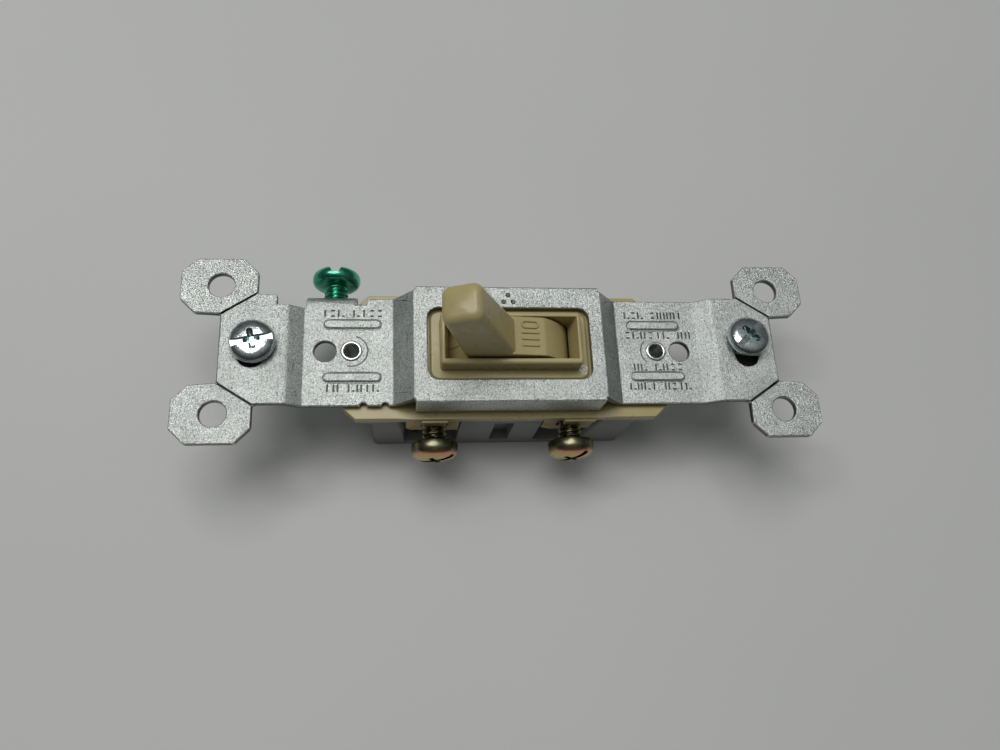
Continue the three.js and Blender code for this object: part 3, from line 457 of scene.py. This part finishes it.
def chromate():
    """Yellow chromate over zinc: gold that shifts to pink and green with angle and film thickness, with painted
    shade on the sides of the head and in the recess.
    """
    g = Graph("yellow_chromate")
    film = g.math("ADD", g.noise(1.6, detail=2, distortion=0.6), g.math("MULTIPLY", g.facing(0.35), 0.45))
    face = g.ramp(film, [(0.36, (0.70, 0.50, 0.16)), (0.50, (0.72, 0.36, 0.24)), (0.62, (0.66, 0.33, 0.27)),
                         (0.76, (0.55, 0.46, 0.14)), (0.92, (0.36, 0.36, 0.20))])
    # Painted shade: the sides of the head and the shank keep the olive film hue but are painted darker.
    side = g.ramp(film, [(0.40, (0.20, 0.18, 0.11)), (0.60, (0.12, 0.125, 0.085)),
                         (0.80, (0.26, 0.21, 0.09))])
    tone = g.mix(g.upward(0.30, 0.75), side, face)
    # Painted shade in the slot and cross recess: near-black on the sides, dark red on the driving face.
    corner = g.corners(0.9, 0.25, 0.8)
    recess_shade = g.mix(g.upward(0.30, 0.75), (0.05, 0.045, 0.025), (0.24, 0.035, 0.025))
    tone = g.mix(g.math("MULTIPLY", corner, 0.75), tone, recess_shade)
    rough = g.between(g.noise(0.8), 0.20, 0.36)
    normal = g.bump(g.noise(0.3, detail=3), 0.012)
    return g.surface(Base_Color=tone, Metallic=1.0, Roughness=rough, Normal=normal)


def green_dye():
    """The clear green dye of a ground screw, over bright metal, with painted shade in its notch and corners."""
    g = Graph("green_finish")
    film = g.math("ADD", g.noise(1.4, detail=2), g.math("MULTIPLY", g.facing(0.4), 0.4))
    tone = g.ramp(film, [(0.35, (0.02, 0.17, 0.11)), (0.6, (0.05, 0.34, 0.235)),
                         (0.85, (0.16, 0.56, 0.43))])
    # Painted shade: corners and the notch are darkened to deep green by ambient occlusion.
    corner = g.corners(0.8, 0.2, 0.8)
    tone = g.mix(g.math("MULTIPLY", corner, 0.6), tone, (0.005, 0.055, 0.035))
    rough = g.between(g.noise(0.9), 0.16, 0.30)
    normal = g.bump(g.noise(0.35, detail=2), 0.010)
    return g.surface(Base_Color=tone, Metallic=0.9, Roughness=rough, Normal=normal,
                     Coat_Weight=0.5, Coat_Roughness=0.12, Coat_Tint=(0.5, 1.0, 0.8))


def bright_zinc():
    """Bright zinc on a screw, teal and painted darker as shade in its recess, with an uneven film and rubbed
    spots.
    """
    g = Graph("bright_zinc")
    film = g.noise(1.1, detail=3, distortion=0.4)
    tone = g.ramp(film, [(0.35, (0.40, 0.44, 0.46)), (0.55, (0.60, 0.64, 0.65)),
                         (0.75, (0.42, 0.53, 0.54))])
    # Teal tint with painted shade: corners and the recess are darkened by ambient occlusion.
    corner = g.corners(0.9, 0.3, 0.85)
    tone = g.mix(g.math("MULTIPLY", corner, 0.8), tone, (0.18, 0.36, 0.36))
    rough = g.between(g.noise(0.5, detail=3, shift=2.0), 0.10, 0.24)
    normal = g.bump(g.noise(0.5, detail=3), 0.03)
    return g.surface(Base_Color=tone, Metallic=1.0, Roughness=rough, Normal=normal)


def plain_metal(name, light, dark, rough):
    """Metal that shades from light to dark in small patches."""
    g = Graph(name)
    tone = g.mix(g.step(g.noise(0.8, detail=4), 0.35, 0.7), light, dark)
    rough_map = g.between(g.noise(0.4), rough - 0.06, rough + 0.1)
    normal = g.bump(g.noise(0.2, detail=2), 0.006)
    return g.surface(Base_Color=tone, Metallic=1.0, Roughness=rough_map, Normal=normal)


def fibre():
    """Black vulcanised fibre with a fine weave."""
    g = Graph("black_fibre")
    weave = g.noise(0.18, detail=4, roughness=0.8)
    tone = g.mix(g.step(weave, 0.45, 0.75), (0.012, 0.012, 0.013), (0.045, 0.043, 0.040))
    return g.surface(Base_Color=tone, Roughness=0.85, Normal=g.bump(weave, 0.02))


ZINC = zinc_sheet("zinc_sheet", (0.80, 0.835, 0.81), 0.55)
SHEARED = zinc_sheet("zinc_sheared_edge", (0.22, 0.23, 0.225), 0.6, stamped=0.25)
# The stamped marks and the score lines take dark tints: painted shade in their grooves.
STAMP_SHADE = zinc_sheet("zinc_stamped_mark_shade", (0.30, 0.31, 0.31), 0.6, stamped=0.35)
SCORE_LINE_SHADE = zinc_sheet("zinc_score_line_shade", (0.12, 0.12, 0.115), 0.7, stamped=0.5)
IVORY = moulded("ivory_plastic", (0.44, 0.368, 0.172), (0.14, 0.10, 0.038), (0.62, 0.57, 0.40), 0.28, 0.10)
CHIP = broken_plastic()
DARK = moulded("dark_plastic", (0.24, 0.24, 0.23), (0.06, 0.06, 0.058), (0.36, 0.36, 0.35), 0.55, 0.0, 0.012)
CRADLE = moulded("cradle_plastic", (0.10, 0.095, 0.085), (0.03, 0.03, 0.03), (0.2, 0.2, 0.2), 0.5, 0.0)
BRASS = brass()
CHROMATE = chromate()
GREEN = green_dye()
SCREW_ZINC = bright_zinc()
RIVET_ZINC = plain_metal("rivet_zinc", (0.74, 0.76, 0.75), (0.48, 0.50, 0.50), 0.24)
SPRING_STEEL = plain_metal("spring_steel", (0.55, 0.55, 0.54), (0.34, 0.33, 0.31), 0.30)
SILVER = plain_metal("silver_contact", (0.85, 0.83, 0.79), (0.60, 0.56, 0.50), 0.28)
FIBRE = fibre()


# ------------------------------------------------------------------ strap
STAMPED_ROWS = (  # Y of the middle, X of the two ends, marks in each of two groups
    (6.7, -30.95, -20.6, (3, 4)),
    (-6.45, -30.3, -21.3, (2, 4)),
    (6.65, 20.7, 31.4, (3, 5)),
    (2.95, 20.5, 32.6, (6, 2)),
    (-2.9, 21.5, 30.6, (2, 4)),
    (-6.35, 20.6, 31.6, (4, 4)),
)
MARK = {"half": 0.15, "tall": 1.3, "short": 0.66, "gap": 0.9, "depth": 0.13}
COIN = {"radius": 2.65, "half": 0.15, "depth": 0.09}  # ring left by the riveting tool


def sheet_index(face):
    """The material of a strap face: 0 on the broad faces, 1 on sheared edges, 3 in the score lines, which carry
    painted shade.
    """
    normal, centre = face.normal, face.calc_center_median()
    if abs(normal.z) < 0.9 and abs(centre.x) > EAR_SCORE_X:
        return 3 if abs(normal.z) > 0.3 else 1
    if abs(normal.z) > 0.25:
        return 0
    across = abs(normal.y) > 0.95
    on_skirt = across and abs(centre.x) < SKIRT["half_length"] and abs(centre.y) > SKIRT["inner"] - 0.1
    on_tab = across and TAB["x0"] < centre.x < TAB["x1"] and centre.y > TAB["inner"] - 0.1
    on_bar = LOW_TOP < centre.z < LOW_TOP + 0.5 and abs(centre.x) > 20.5 and abs(centre.y) < 5.6
    return 0 if on_skirt or on_tab or on_bar else 1


def groove(length, top, turned=False):
    """A cutter for a short stamped line along Y, or along X when turned. It narrows to its floor."""
    rings = []
    for z, share in ((top + 0.3, 1.5), (top, 1.0), (top - MARK["depth"], 0.45)):
        x, y = MARK["half"] * share, length / 2 - MARK["half"] * (1 - share)
        if turned:
            x, y = y, x
        rings.append([Vector((a, b, z)) for a, b in rounded_rectangle(x, y, min(x, y) * 0.9, 3)])
    return loft(rings)


def stamped_rows():
    """Rows of plain ticks and dashes where the real strap is stamped with its ratings."""
    chance = random.Random(41)
    cutters = []
    for y, x0, x1, groups in STAMPED_ROWS:
        pitch = (x1 - x0) / (sum(groups) + MARK["gap"])
        x = x0 + pitch / 2
        for count in groups:
            for _ in range(count):
                cutters += stamped_mark(chance.randrange(4), x, y, pitch)
                x += pitch
            x += MARK["gap"] * pitch
    return cutters


def stamped_mark(kind, x, y, pitch):
    """Two ticks, a tick and a dash, two dashes, or one tall tick."""
    tall, short = MARK["tall"], MARK["short"]
    aside, above = 0.24 * pitch, 0.38 * tall
    lines = ([(-aside, 0, tall, False), (aside, 0, tall, False)],
             [(-aside * 1.2, 0, tall, False), (aside * 1.2, -above, short * 0.7, True)],
             [(0, above, short, True), (0, -above, short, True)],
             [(0, 0, tall, False)])[kind]
    return [moved(groove(length, LOW_TOP, turned), Matrix.Translation((x + dx, y + dy, 0)))
            for dx, dy, length, turned in lines]


def plateau_marks():
    """Three plain dots stamped beside the opening."""
    dots = []
    for x, y in ((-0.8, 7.3), (0.8, 7.3), (0.0, 8.5)):
        profile = [(0, -MARK["depth"]), (0.22, -MARK["depth"]), (0.42, 0), (0.6, 0.3), (0, 0.3)]
        dots.append(moved(lathe(profile, 20), Matrix.Translation((x, y, PLATEAU_TOP))))
    return dots


def coin_groove(x, start, end, steps=30):
    """A cutter for the V-shaped groove that the riveting tool leaves, along an arc in degrees."""
    radius, half, top = COIN["radius"], COIN["half"], LOW_TOP + 0.02
    section = [(radius - half, top), (radius + half, top), (radius, LOW_TOP - COIN["depth"])]
    rings = []
    for i in range(steps + 1):
        a = math.radians(start + (end - start) * i / steps)
        rings.append([Vector((x + r * math.cos(a), r * math.sin(a), z)) for r, z in section])
    return loft(rings)


def make_strap():
    bm = cad_copy("strap")
    for face in bm.faces:
        face.material_index = sheet_index(face)
    cutters = stamped_rows() + plateau_marks()
    for x, start, end in ((-RIVET_X, -105, 75), (RIVET_X, 135, 228)):
        cutters.append(coin_groove(x, start, end))
    bm = combine(bm, painted(merged(cutters), 2))
    eased(bm, 0.22, least=30, keep=(2, 3), paint=0)
    materials = [ZINC, SHEARED, STAMP_SHADE, SCORE_LINE_SHADE]
    finish_piece(bm, "mounting_strap", "housing", materials, ["strap"])


def make_rivets():
    """Hollow rivets, rolled over at the strap and upset at the foot."""
    low, high = box_mm("rivet_right")
    bore, shank, foot_round = RIVET["bore"], RIVET["shank"], RIVET["foot_round"]
    head = high.z - RIVET["rise"]
    foot_top = low.z + RIVET["foot_height"]
    half = (RIVET["flange"] - bore) / 2
    rim = [(bore + r, head + z * RIVET["rise"] / half) for r, z in arc((half, 0.0), half, 0, 180, 10)]
    upset = arc((RIVET["foot"] - foot_round, foot_top - foot_round), foot_round, -90, 90, 6)
    profile = [(bore, low.z + 0.15), (bore + 0.15, low.z), *upset, (shank, foot_top), (shank, head), *rim]
    for side, name in ((-1, "rivet_left"), (1, "rivet_right")):
        bm = loft([circle(r, z, 64) for r, z in profile], closed=True)
        moved(bm, Matrix.Translation((side * RIVET_X, 0, 0)))
        finish_piece(bm, "tubular_" + name, "housing", [RIVET_ZINC], [name], crease=40)


# ------------------------------------------------------------------ housing
def chip_cutter(centre, size, seed):
    """A rough lump that breaks a corner off."""
    chance = random.Random(seed)
    bm = bmesh.new()
    bmesh.ops.create_icosphere(bm, subdivisions=2, radius=1.0)
    for vert in bm.verts:
        vert.co = Vector(c * s for c, s in zip(vert.co, size)) * chance.uniform(0.8, 1.12) + Vector(centre)
    return bm


def make_cover():
    bm = cad_copy("cover")
    for centre, size, seed in (((11.85, -4.85, 23.4), (0.5, 0.58, 1.6), 5),
                               ((12.1, -4.4, 22.02), (0.85, 1.0, 0.22), 8)):
        bm = combine(bm, painted(chip_cutter(centre, size, seed), 1))
    bm = eased(bm, 0.16, least=22, keep=(1,))
    finish_piece(bm, "front_cover", "housing", [IVORY, CHIP], ["cover"], crease=32)


def make_base():
    """The rear housing, with moulding marks, funnel mouths on the wire holes and a strip gauge."""
    bm = cad_copy("base")
    cutters = []
    for x, y in ((-18.5, 8.0), (18.5, 8.0), (-6.5, 3.5), (6.5, 3.5)):
        ejector_mark = lathe([(0, -1), (1.6, -1), (1.6, 0.12), (0, 0.12)], 40)
        cutters.append(moved(ejector_mark, Matrix.Translation((x, y, 0))))
    for x in (-WIRE_HOLE["x"], WIRE_HOLE["x"]):
        mouth = lathe([(0, -1), (2.6, -1), (1.85, 0.0), (1.15, 0.75), (0, 0.75)], 40)
        cutters.append(moved(mouth, Matrix.Translation((x, WIRE_HOLE["y"], 0))))
    cutters.append(block((-7.9, 7.9), (7.2, 8.2), (-1, 0.25)))
    bm = combine(bm, merged(cutters))
    face_y = box_mm("base")[0].y
    near = 0.05
    corners = [e for e in bm.edges if all(abs(v.co.y - face_y) < near for v in e.verts)
               and any(all(abs(v.co.x - x) < near for v in e.verts) for x in POCKET_ENDS)]
    bmesh.ops.bevel(bm, geom=corners, offset=POCKET_ROUND, offset_type="OFFSET", segments=6, profile=0.5,
                    affect="EDGES")
    bm = eased(bm, 0.2, least=30)
    finish_piece(bm, "rear_housing", "housing", [DARK], ["base"], crease=32)


# ------------------------------------------------------------------ handle and its works
def handle_grip():
    """The tapered grip, with rounded corners and a softly domed tip. It stands upright on the pivot."""
    tip, fillet, corner = HANDLE["tip"] - 0.1, HANDLE["tip_round"], HANDLE["tip_corner"]
    root_corner, tip_x, tip_y = HANDLE["root_corner"], HANDLE["tip_x"], HANDLE["tip_y"]
    sides = ((HANDLE["foot"], HANDLE["root_x"] + HANDLE["flare"], HANDLE["root_y"], root_corner),
             (HANDLE["root"], HANDLE["root_x"], HANDLE["root_y"], root_corner),
             (tip - fillet, tip_x, tip_y, corner))
    rings = []
    for below, above in zip(sides, sides[1:]):
        for i in range(12):
            rings.append([a + (b - a) * (i / 12) for a, b in zip(below, above)])
    for i in range(9):
        a = math.radians(90 * i / 8)
        inset = fillet * (1 - math.cos(a))
        level = tip - fillet + fillet * math.sin(a)
        rings.append((level, tip_x - inset, tip_y - inset, corner - 0.3 * inset))
    _, top_x, top_y, top_radius = rings[-1]
    for share in (0.85, 0.7, 0.55, 0.4, 0.25, 0.1):
        half_x, half_y = top_x * share, top_y * share
        radius = share * top_radius + (1 - share) * min(half_x, half_y)
        level = tip + HANDLE["dome"] * (1 - share ** 2)
        rings.append((level, half_x, half_y, min(radius, half_y * 0.98)))
    return loft([[Vector((x, y, z)) for x, y in rounded_rectangle(half_x, half_y, radius, 6)]
                 for z, half_x, half_y, radius in rings])


def barrel():
    """The drum under the grip, with a flat on each side of it, hollowed from below."""
    start = math.degrees(math.atan2(BARREL["shoulder"][1], BARREL["shoulder"][0]))
    drum = arc((0, 0), BARREL["radius"], 0, start, 22)
    right = [(9.2, -0.9), (BARREL["radius"], -0.5), *drum, BARREL["flat_root"]]
    bm = prism(right + mirrored(right), -BARREL["half"], BARREL["half"])
    eased(bm, 0.18, least=12, segments=3)
    hollow = [(3.8, -2), (8.6, -2), (8.6, 0.6), (6.6, 5.2), (3.8, 6.4)]
    for outline in (hollow, mirrored(hollow)):
        bm = combine(bm, prism(outline, 1 - BARREL["half"], BARREL["half"] - 1))
    return bm


def facet_frame(side):
    """Stands a mark on one of the drum's flats: X down the slope, Y along the pivot."""
    (x0, z0), (x1, z1) = BARREL["flat_root"], BARREL["shoulder"]
    slope = math.atan2(z0 - z1, x1 - x0)
    middle = Vector((side * (x0 + x1) / 2, 0, (z0 + z1) / 2))
    return Matrix.Translation(middle) @ Matrix.Rotation(side * slope, 4, "Y")


def raised_bar(length, half, height):
    """A round-ended bar that stands proud of a flat."""
    rings = []
    for z, inset in ((-0.3, 0.0), (height * 0.5, 0.0), (height * 0.85, 0.05), (height, 0.14)):
        x, y = length / 2 - inset, half - inset
        rings.append([Vector((a, b, z)) for a, b in rounded_rectangle(x, y, y * 0.95, 5)])
    return loft(rings)


def raised_ring(half_x, half_y, stroke, height):
    """An upright oval ring: the off mark."""
    section = ((-0.3, 0.0), (height * 0.5, 0.0), (height * 0.85, 0.05), (height, 0.12))
    rings = []
    for outer in (True, False):
        steps = section if outer else tuple(reversed(section))
        for z, inset in steps:
            shrink = inset if outer else stroke - inset
            x, y = half_x - shrink, half_y - shrink
            rings.append([Vector((a, b, z)) for a, b in rounded_rectangle(x, y, min(x, y) * 0.98, 8)])
    return loft(rings, closed=True)


def handle_marks():
    """Plain raised marks: a ring and three bars on the OFF flat, one bar on the ON flat."""
    shift = 0.25  # down the slope, clear of the grip
    length, half, height, low_height = 3.0, 0.22, 0.28, 0.2
    off, on = facet_frame(1), facet_frame(-1)
    parts = [moved(raised_ring(length / 2, 0.7, 0.3, height), off @ Matrix.Translation((shift, 1.9, 0)))]
    for y in (0.55, -0.55, -1.65):
        parts.append(moved(raised_bar(length, half, height), off @ Matrix.Translation((shift, y, 0))))
    parts.append(moved(raised_bar(length, half, low_height), on @ Matrix.Translation((-shift, 0, 0))))
    return merged(parts)


def make_toggle():
    """The handle in one piece: drum, grip, stem with its spring bore, pins and marks."""
    bm = combine(barrel(), handle_grip(), "UNION")
    half, bottom, bore, bore_top = (STEM[key] for key in ("half", "bottom", "bore", "bore_top"))
    stem = eased(block((-half, half), (-half, half), (bottom, HANDLE["foot"])), 0.25)
    bm = combine(bm, stem, "UNION")
    radius, end, ease = PIN["radius"], PIN["end"], PIN["ease"]
    pins = lathe([(0, -end), (radius - ease, -end), (radius, ease - end), (radius, end - ease),
                  (radius - ease, end), (0, end)], 48)
    bm = combine(bm, moved(pins, Matrix.Rotation(math.pi / 2, 4, "X")), "UNION")
    bm = combine(bm, lathe([(0, bottom - 1), (bore, bottom - 1), (bore, bore_top), (0, bore_top + 0.4)], 40))
    bm = combine(bm, handle_marks(), "UNION")
    finish_piece(bm, "toggle_handle", "handle", [IVORY], ["toggle"],
                 upright(HANDLE_PLACE), crease=22)


def make_spring():
    """A coil spring with a closed turn at each end."""
    radius, wire, turns = SPRING["radius"], SPRING["wire"], SPRING["turns"]
    bottom, top = SPRING["bottom"] + wire, SPRING["top"] - wire
    dead = 1.0 / turns  # share of the wire in each closed end turn
    pitch = 2.1 * wire
    rings = []
    steps = turns * 28
    for i in range(steps + 1):
        t = i / steps
        open_part = min(max((t - dead) / (1 - 2 * dead), 0.0), 1.0)
        closed_part = min(t, dead) / dead + max(t - 1 + dead, 0.0) / dead
        z = bottom + closed_part * pitch + open_part * (top - bottom - 2 * pitch)
        angle = 2 * math.pi * turns * t
        outward = Vector((math.cos(angle), math.sin(angle), 0))
        centre = outward * radius + Vector((0, 0, z))
        rings.append([centre + outward * (wire * math.cos(a)) + Vector((0, 0, wire * math.sin(a)))
                      for a in (2 * math.pi * k / 10 for k in range(10))])
    spring = finish_piece(loft(rings), "coil_spring", "handle", [SPRING_STEEL],
                          ["toggle_spring"], upright(HANDLE_PLACE), crease=60)
    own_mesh(spring)


def make_plunger():
    """The round-nosed pin that the spring presses on the cradle."""
    radius, nose, top = PLUNGER["radius"], PLUNGER["nose"], PLUNGER["top"]
    dome = [(max(r, 0.0), z) for r, z in arc((0, nose + radius), radius, -90, 0, 10)][1:]
    profile = [(0, nose), *dome, (radius, top - 0.15), (radius - 0.15, top), (0, top)]
    finish_piece(lathe(profile, 40), "plunger_pin", "plunger", [SPRING_STEEL],
                 ["spring_plunger"], upright(HANDLE_PLACE), crease=40)


# ------------------------------------------------------------------ screws
def screw_body(head, shank, length, count=64):
    """A screw standing on z = 0 under its head: a real helical thread below, a turned head above."""
    depth = PITCH * 0.52
    rise = PITCH / 12
    point = 0.55
    rings = [circle(0, -length, count)]
    rows = int(length / rise)
    for row in range(rows + 1):
        z = -length + row * rise
        end_fade = min(1.0, (z + length) / point)
        neck_fade = min(1.0, max(0.0, (-0.35 - z) / 0.35))
        ring = []
        for i in range(count):
            share = i / count
            phase = (z / PITCH - share) % 1.0
            flank = min(max((abs(2 * phase - 1) - 0.12) / 0.72, 0.0), 1.0)
            radius = shank - depth * (1 - flank) * neck_fade - depth * (1 - neck_fade) * 0.5
            radius = min(radius, shank - point + end_fade * point)
            angle = 2 * math.pi * share
            ring.append(Vector((radius * math.cos(angle), radius * math.sin(angle), z)))
        rings.append(ring)
    rings += [circle(radius, z, count) for radius, z in head]
    return loft(rings)


def pan_head(radius, height):
    """The outline of a pan head: an eased rim, a short wall and a low crown."""
    crown = ((1.0, 0.42), (0.985, 0.52), (0.94, 0.66), (0.86, 0.78), (0.74, 0.88), (0.55, 0.95), (0.3, 0.99))
    rim = [(radius - 0.35, 0.0), (radius - 0.12, 0.06), (radius, 0.28)]
    return rim + [(radius * across, height * up) for across, up in crown] + [(0, height)]


def wing(size, half, depth, top):
    """One tapered arm pair of a cross recess."""
    rings = []
    for z, length, width in ((top + 0.5, size * 1.15, half * 1.1), (top - depth, size * 0.38, half * 0.55)):
        outline = rounded_rectangle(length, width, width * 0.5, 2)
        rings.append([Vector((x, y, z)) for x, y in outline])
    return loft(rings)


def combination_screw(sizes, slot_half, slot_depth, cross, cross_depth):
    """A pan-head screw with the slot and the cross of a combination drive."""
    radius, height = sizes["head"], sizes["height"]
    bm = screw_body(pan_head(radius, height), sizes["shank"], sizes["length"])
    slot = block((-radius - 1, radius + 1), (-slot_half, slot_half), (height - slot_depth, height + 1))
    bm = combine(bm, slot)
    for turn in (0, math.pi / 2):
        arm = moved(wing(cross, slot_half, cross_depth, height), Matrix.Rotation(turn, 4, "Z"))
        bm = combine(bm, arm)
    return bm


def make_terminal_screws():
    for side, turn in (("load", 0.5), ("line", 0.9)):
        bm = combination_screw(TERMINAL_SCREW, 0.5, 0.7, 1.9, 1.5)
        finish_piece(bm, "terminal_" + side + "_screw", side + "_terminal_screw", [CHROMATE],
                     [side + "_screw"], seat(side + "_screw_turn", turn))


def make_ground_screw():
    """The green ground screw: a rounded hat of a head with a V-shaped slot."""
    radius, height = GROUND_SCREW["head"], GROUND_SCREW["height"]
    head = [(radius - 1.3, 0.0), (radius - 0.6, 0.12), (radius - 0.2, 0.45), (radius, 0.9), (radius, 1.6),
            (radius - 0.1, 1.95), (radius - 0.35, 2.3), (radius - 0.9, 2.7), (radius - 1.7, 2.9), (0, height)]
    bm = screw_body(head, GROUND_SCREW["shank"], GROUND_SCREW["length"])
    floor_half, mouth_half = GROUND_SCREW["notch"]
    notch = [(floor_half, height - GROUND_SCREW["notch_depth"]), (mouth_half, height + 0.1)]
    bm = combine(bm, prism(notch + mirrored(notch), -radius - 1, radius + 1))
    finish_piece(bm, "green_ground_screw", "ground_terminal_screw", [GREEN], ["ground_screw"],
                 seat("ground_screw_turn", 0))


def make_box_screws():
    for side, turn in (("left", 0.2), ("right", 0.75)):
        bm = combination_screw(BOX_SCREW, 0.55, 0.6, 2.0, 1.3)
        finish_piece(bm, "box_screw_" + side, side + "_box_screw", [SCREW_ZINC],
                     ["mounting_screw_" + side], seat(side + "_box_screw_turn", turn))


# ------------------------------------------------------------------ stage
def make_floor():
    """A plain pale floor, a hair below the switch."""
    g = Graph("pale_floor")
    cloud = g.noise(120.0, detail=2)
    tone = g.mix(cloud, (0.56, 0.565, 0.56), (0.62, 0.625, 0.62))
    material = g.surface(Base_Color=tone, Roughness=0.7, Normal=g.bump(g.noise(0.8, detail=3), 0.02))
    mesh = bpy.data.meshes.new("floor")
    bm = bmesh.new()
    bmesh.ops.create_circle(bm, cap_ends=True, segments=96, radius=3.0)
    moved(bm, Matrix.Translation((0, 0, -0.02 * MM)))
    bm.to_mesh(mesh)
    bm.free()
    mesh.materials.append(material)
    floor = bpy.data.objects.new("floor", mesh)
    SCENE.collection.objects.link(floor)


def area_light(name, place, size, power, colour):
    """A softbox in metres and watts, aimed at the switch."""
    data = bpy.data.lights.new(name, "AREA")
    data.shape = "RECTANGLE"
    data.size, data.size_y = size
    data.energy = power
    data.color = colour
    light = bpy.data.objects.new(name, data)
    SCENE.collection.objects.link(light)
    light.location = place
    light.rotation_euler = (-Vector(place)).to_track_quat("-Z", "Y").to_euler()


def make_world():
    """A soft room: pale overhead, dark near the horizon and on the camera's side, where whoever holds
    the camera stands, and a plain pale backdrop to the camera itself."""
    world = bpy.data.worlds.new("studio")
    SCENE.world = world
    world.use_nodes = True
    tree = world.node_tree
    tree.nodes.clear()

    def node(kind, **settings):
        made = tree.nodes.new(kind)
        for key, value in settings.items():
            setattr(made, key, value)
        return made

    place = node("ShaderNodeTexCoord")
    split = node("ShaderNodeSeparateXYZ")
    ramp = node("ShaderNodeValToRGB")
    tree.links.new(place.outputs["Generated"], split.inputs[0])
    tree.links.new(split.outputs["Z"], ramp.inputs[0])
    stops = ((0.0, (0.085, 0.09, 0.088)), (0.6, (0.12, 0.128, 0.125)), (0.92, (0.34, 0.35, 0.345)))
    elements = ramp.color_ramp.elements
    elements.new(0.5)
    for element, (position, colour) in zip(elements, stops):
        element.position = position
        element.color = (*colour, 1)
    lit, backdrop = node("ShaderNodeBackground"), node("ShaderNodeBackground")
    side = node("ShaderNodeMapRange", interpolation_type="SMOOTHSTEP")
    tree.links.new(split.outputs["Y"], side.inputs[0])
    for socket, value in zip(side.inputs[1:5], (-0.7, 0.25, 0.4, 1.0)):
        socket.default_value = value
    tree.links.new(ramp.outputs[0], lit.inputs[0])
    tree.links.new(side.outputs[0], lit.inputs[1])
    backdrop.inputs[0].default_value = (0.42, 0.425, 0.435, 1)
    mix = node("ShaderNodeMixShader")
    path = node("ShaderNodeLightPath")
    out = node("ShaderNodeOutputWorld")
    tree.links.new(path.outputs["Is Camera Ray"], mix.inputs[0])
    tree.links.new(lit.outputs[0], mix.inputs[1])
    tree.links.new(backdrop.outputs[0], mix.inputs[2])
    tree.links.new(mix.outputs[0], out.inputs[0])


CAMERA = {"lens": 28.706, "place": (-18.65, -47.01, 143.66), "roll": 2.72, "pitch": -18.77, "yaw": 7.86}


def make_camera():
    """Stands a phone's wide lens above the switch, tipped towards its terminal side."""
    data = bpy.data.cameras.new("camera")
    data.sensor_width = 36.0
    data.lens = CAMERA["lens"]
    data.clip_start, data.clip_end = 0.01, 20.0
    camera = bpy.data.objects.new("camera", data)
    SCENE.collection.objects.link(camera)
    roll, pitch, yaw = (math.radians(CAMERA[angle]) for angle in ("roll", "pitch", "yaw"))
    to_camera = Matrix.Rotation(roll, 4, "Z") @ Matrix.Rotation(pitch, 4, "X") @ Matrix.Rotation(yaw, 4, "Y")
    camera.matrix_world = Matrix.Translation(Vector(CAMERA["place"]) * MM) @ to_camera.transposed()
    SCENE.camera = camera


make_strap()
make_rivets()
make_cover()
make_base()
make_toggle()
make_spring()
make_plunger()
make_terminal_screws()
make_ground_screw()
make_box_screws()
for kept, material, edge in (
    ("load_terminal", BRASS, 0.08),
    ("line_terminal", BRASS, 0.08),
    ("load_wire_clamp", SPRING_STEEL, 0.04),
    ("line_wire_clamp", SPRING_STEEL, 0.04),
    ("fixed_contact", SILVER, 0.04),
    ("moving_contact", SILVER, 0.04),
    ("contact_arm", BRASS, 0.08),
    ("rocker_cradle", CRADLE, 0.15),
    ("screw_retainer_left", FIBRE, 0.08),
    ("screw_retainer_right", FIBRE, 0.08),
):
    dress_node(kept, material, edge)

make_floor()
make_world()
area_light("overhead", (-0.13, 0.18, 0.75), (0.50, 0.42), 3.0, (1.0, 0.995, 0.975))
area_light("lamp", (-0.46, 0.2, 0.72), (0.12, 0.12), 0.42, (1, 1, 1))
make_camera()
SCENE.view_settings.view_transform = "Standard"
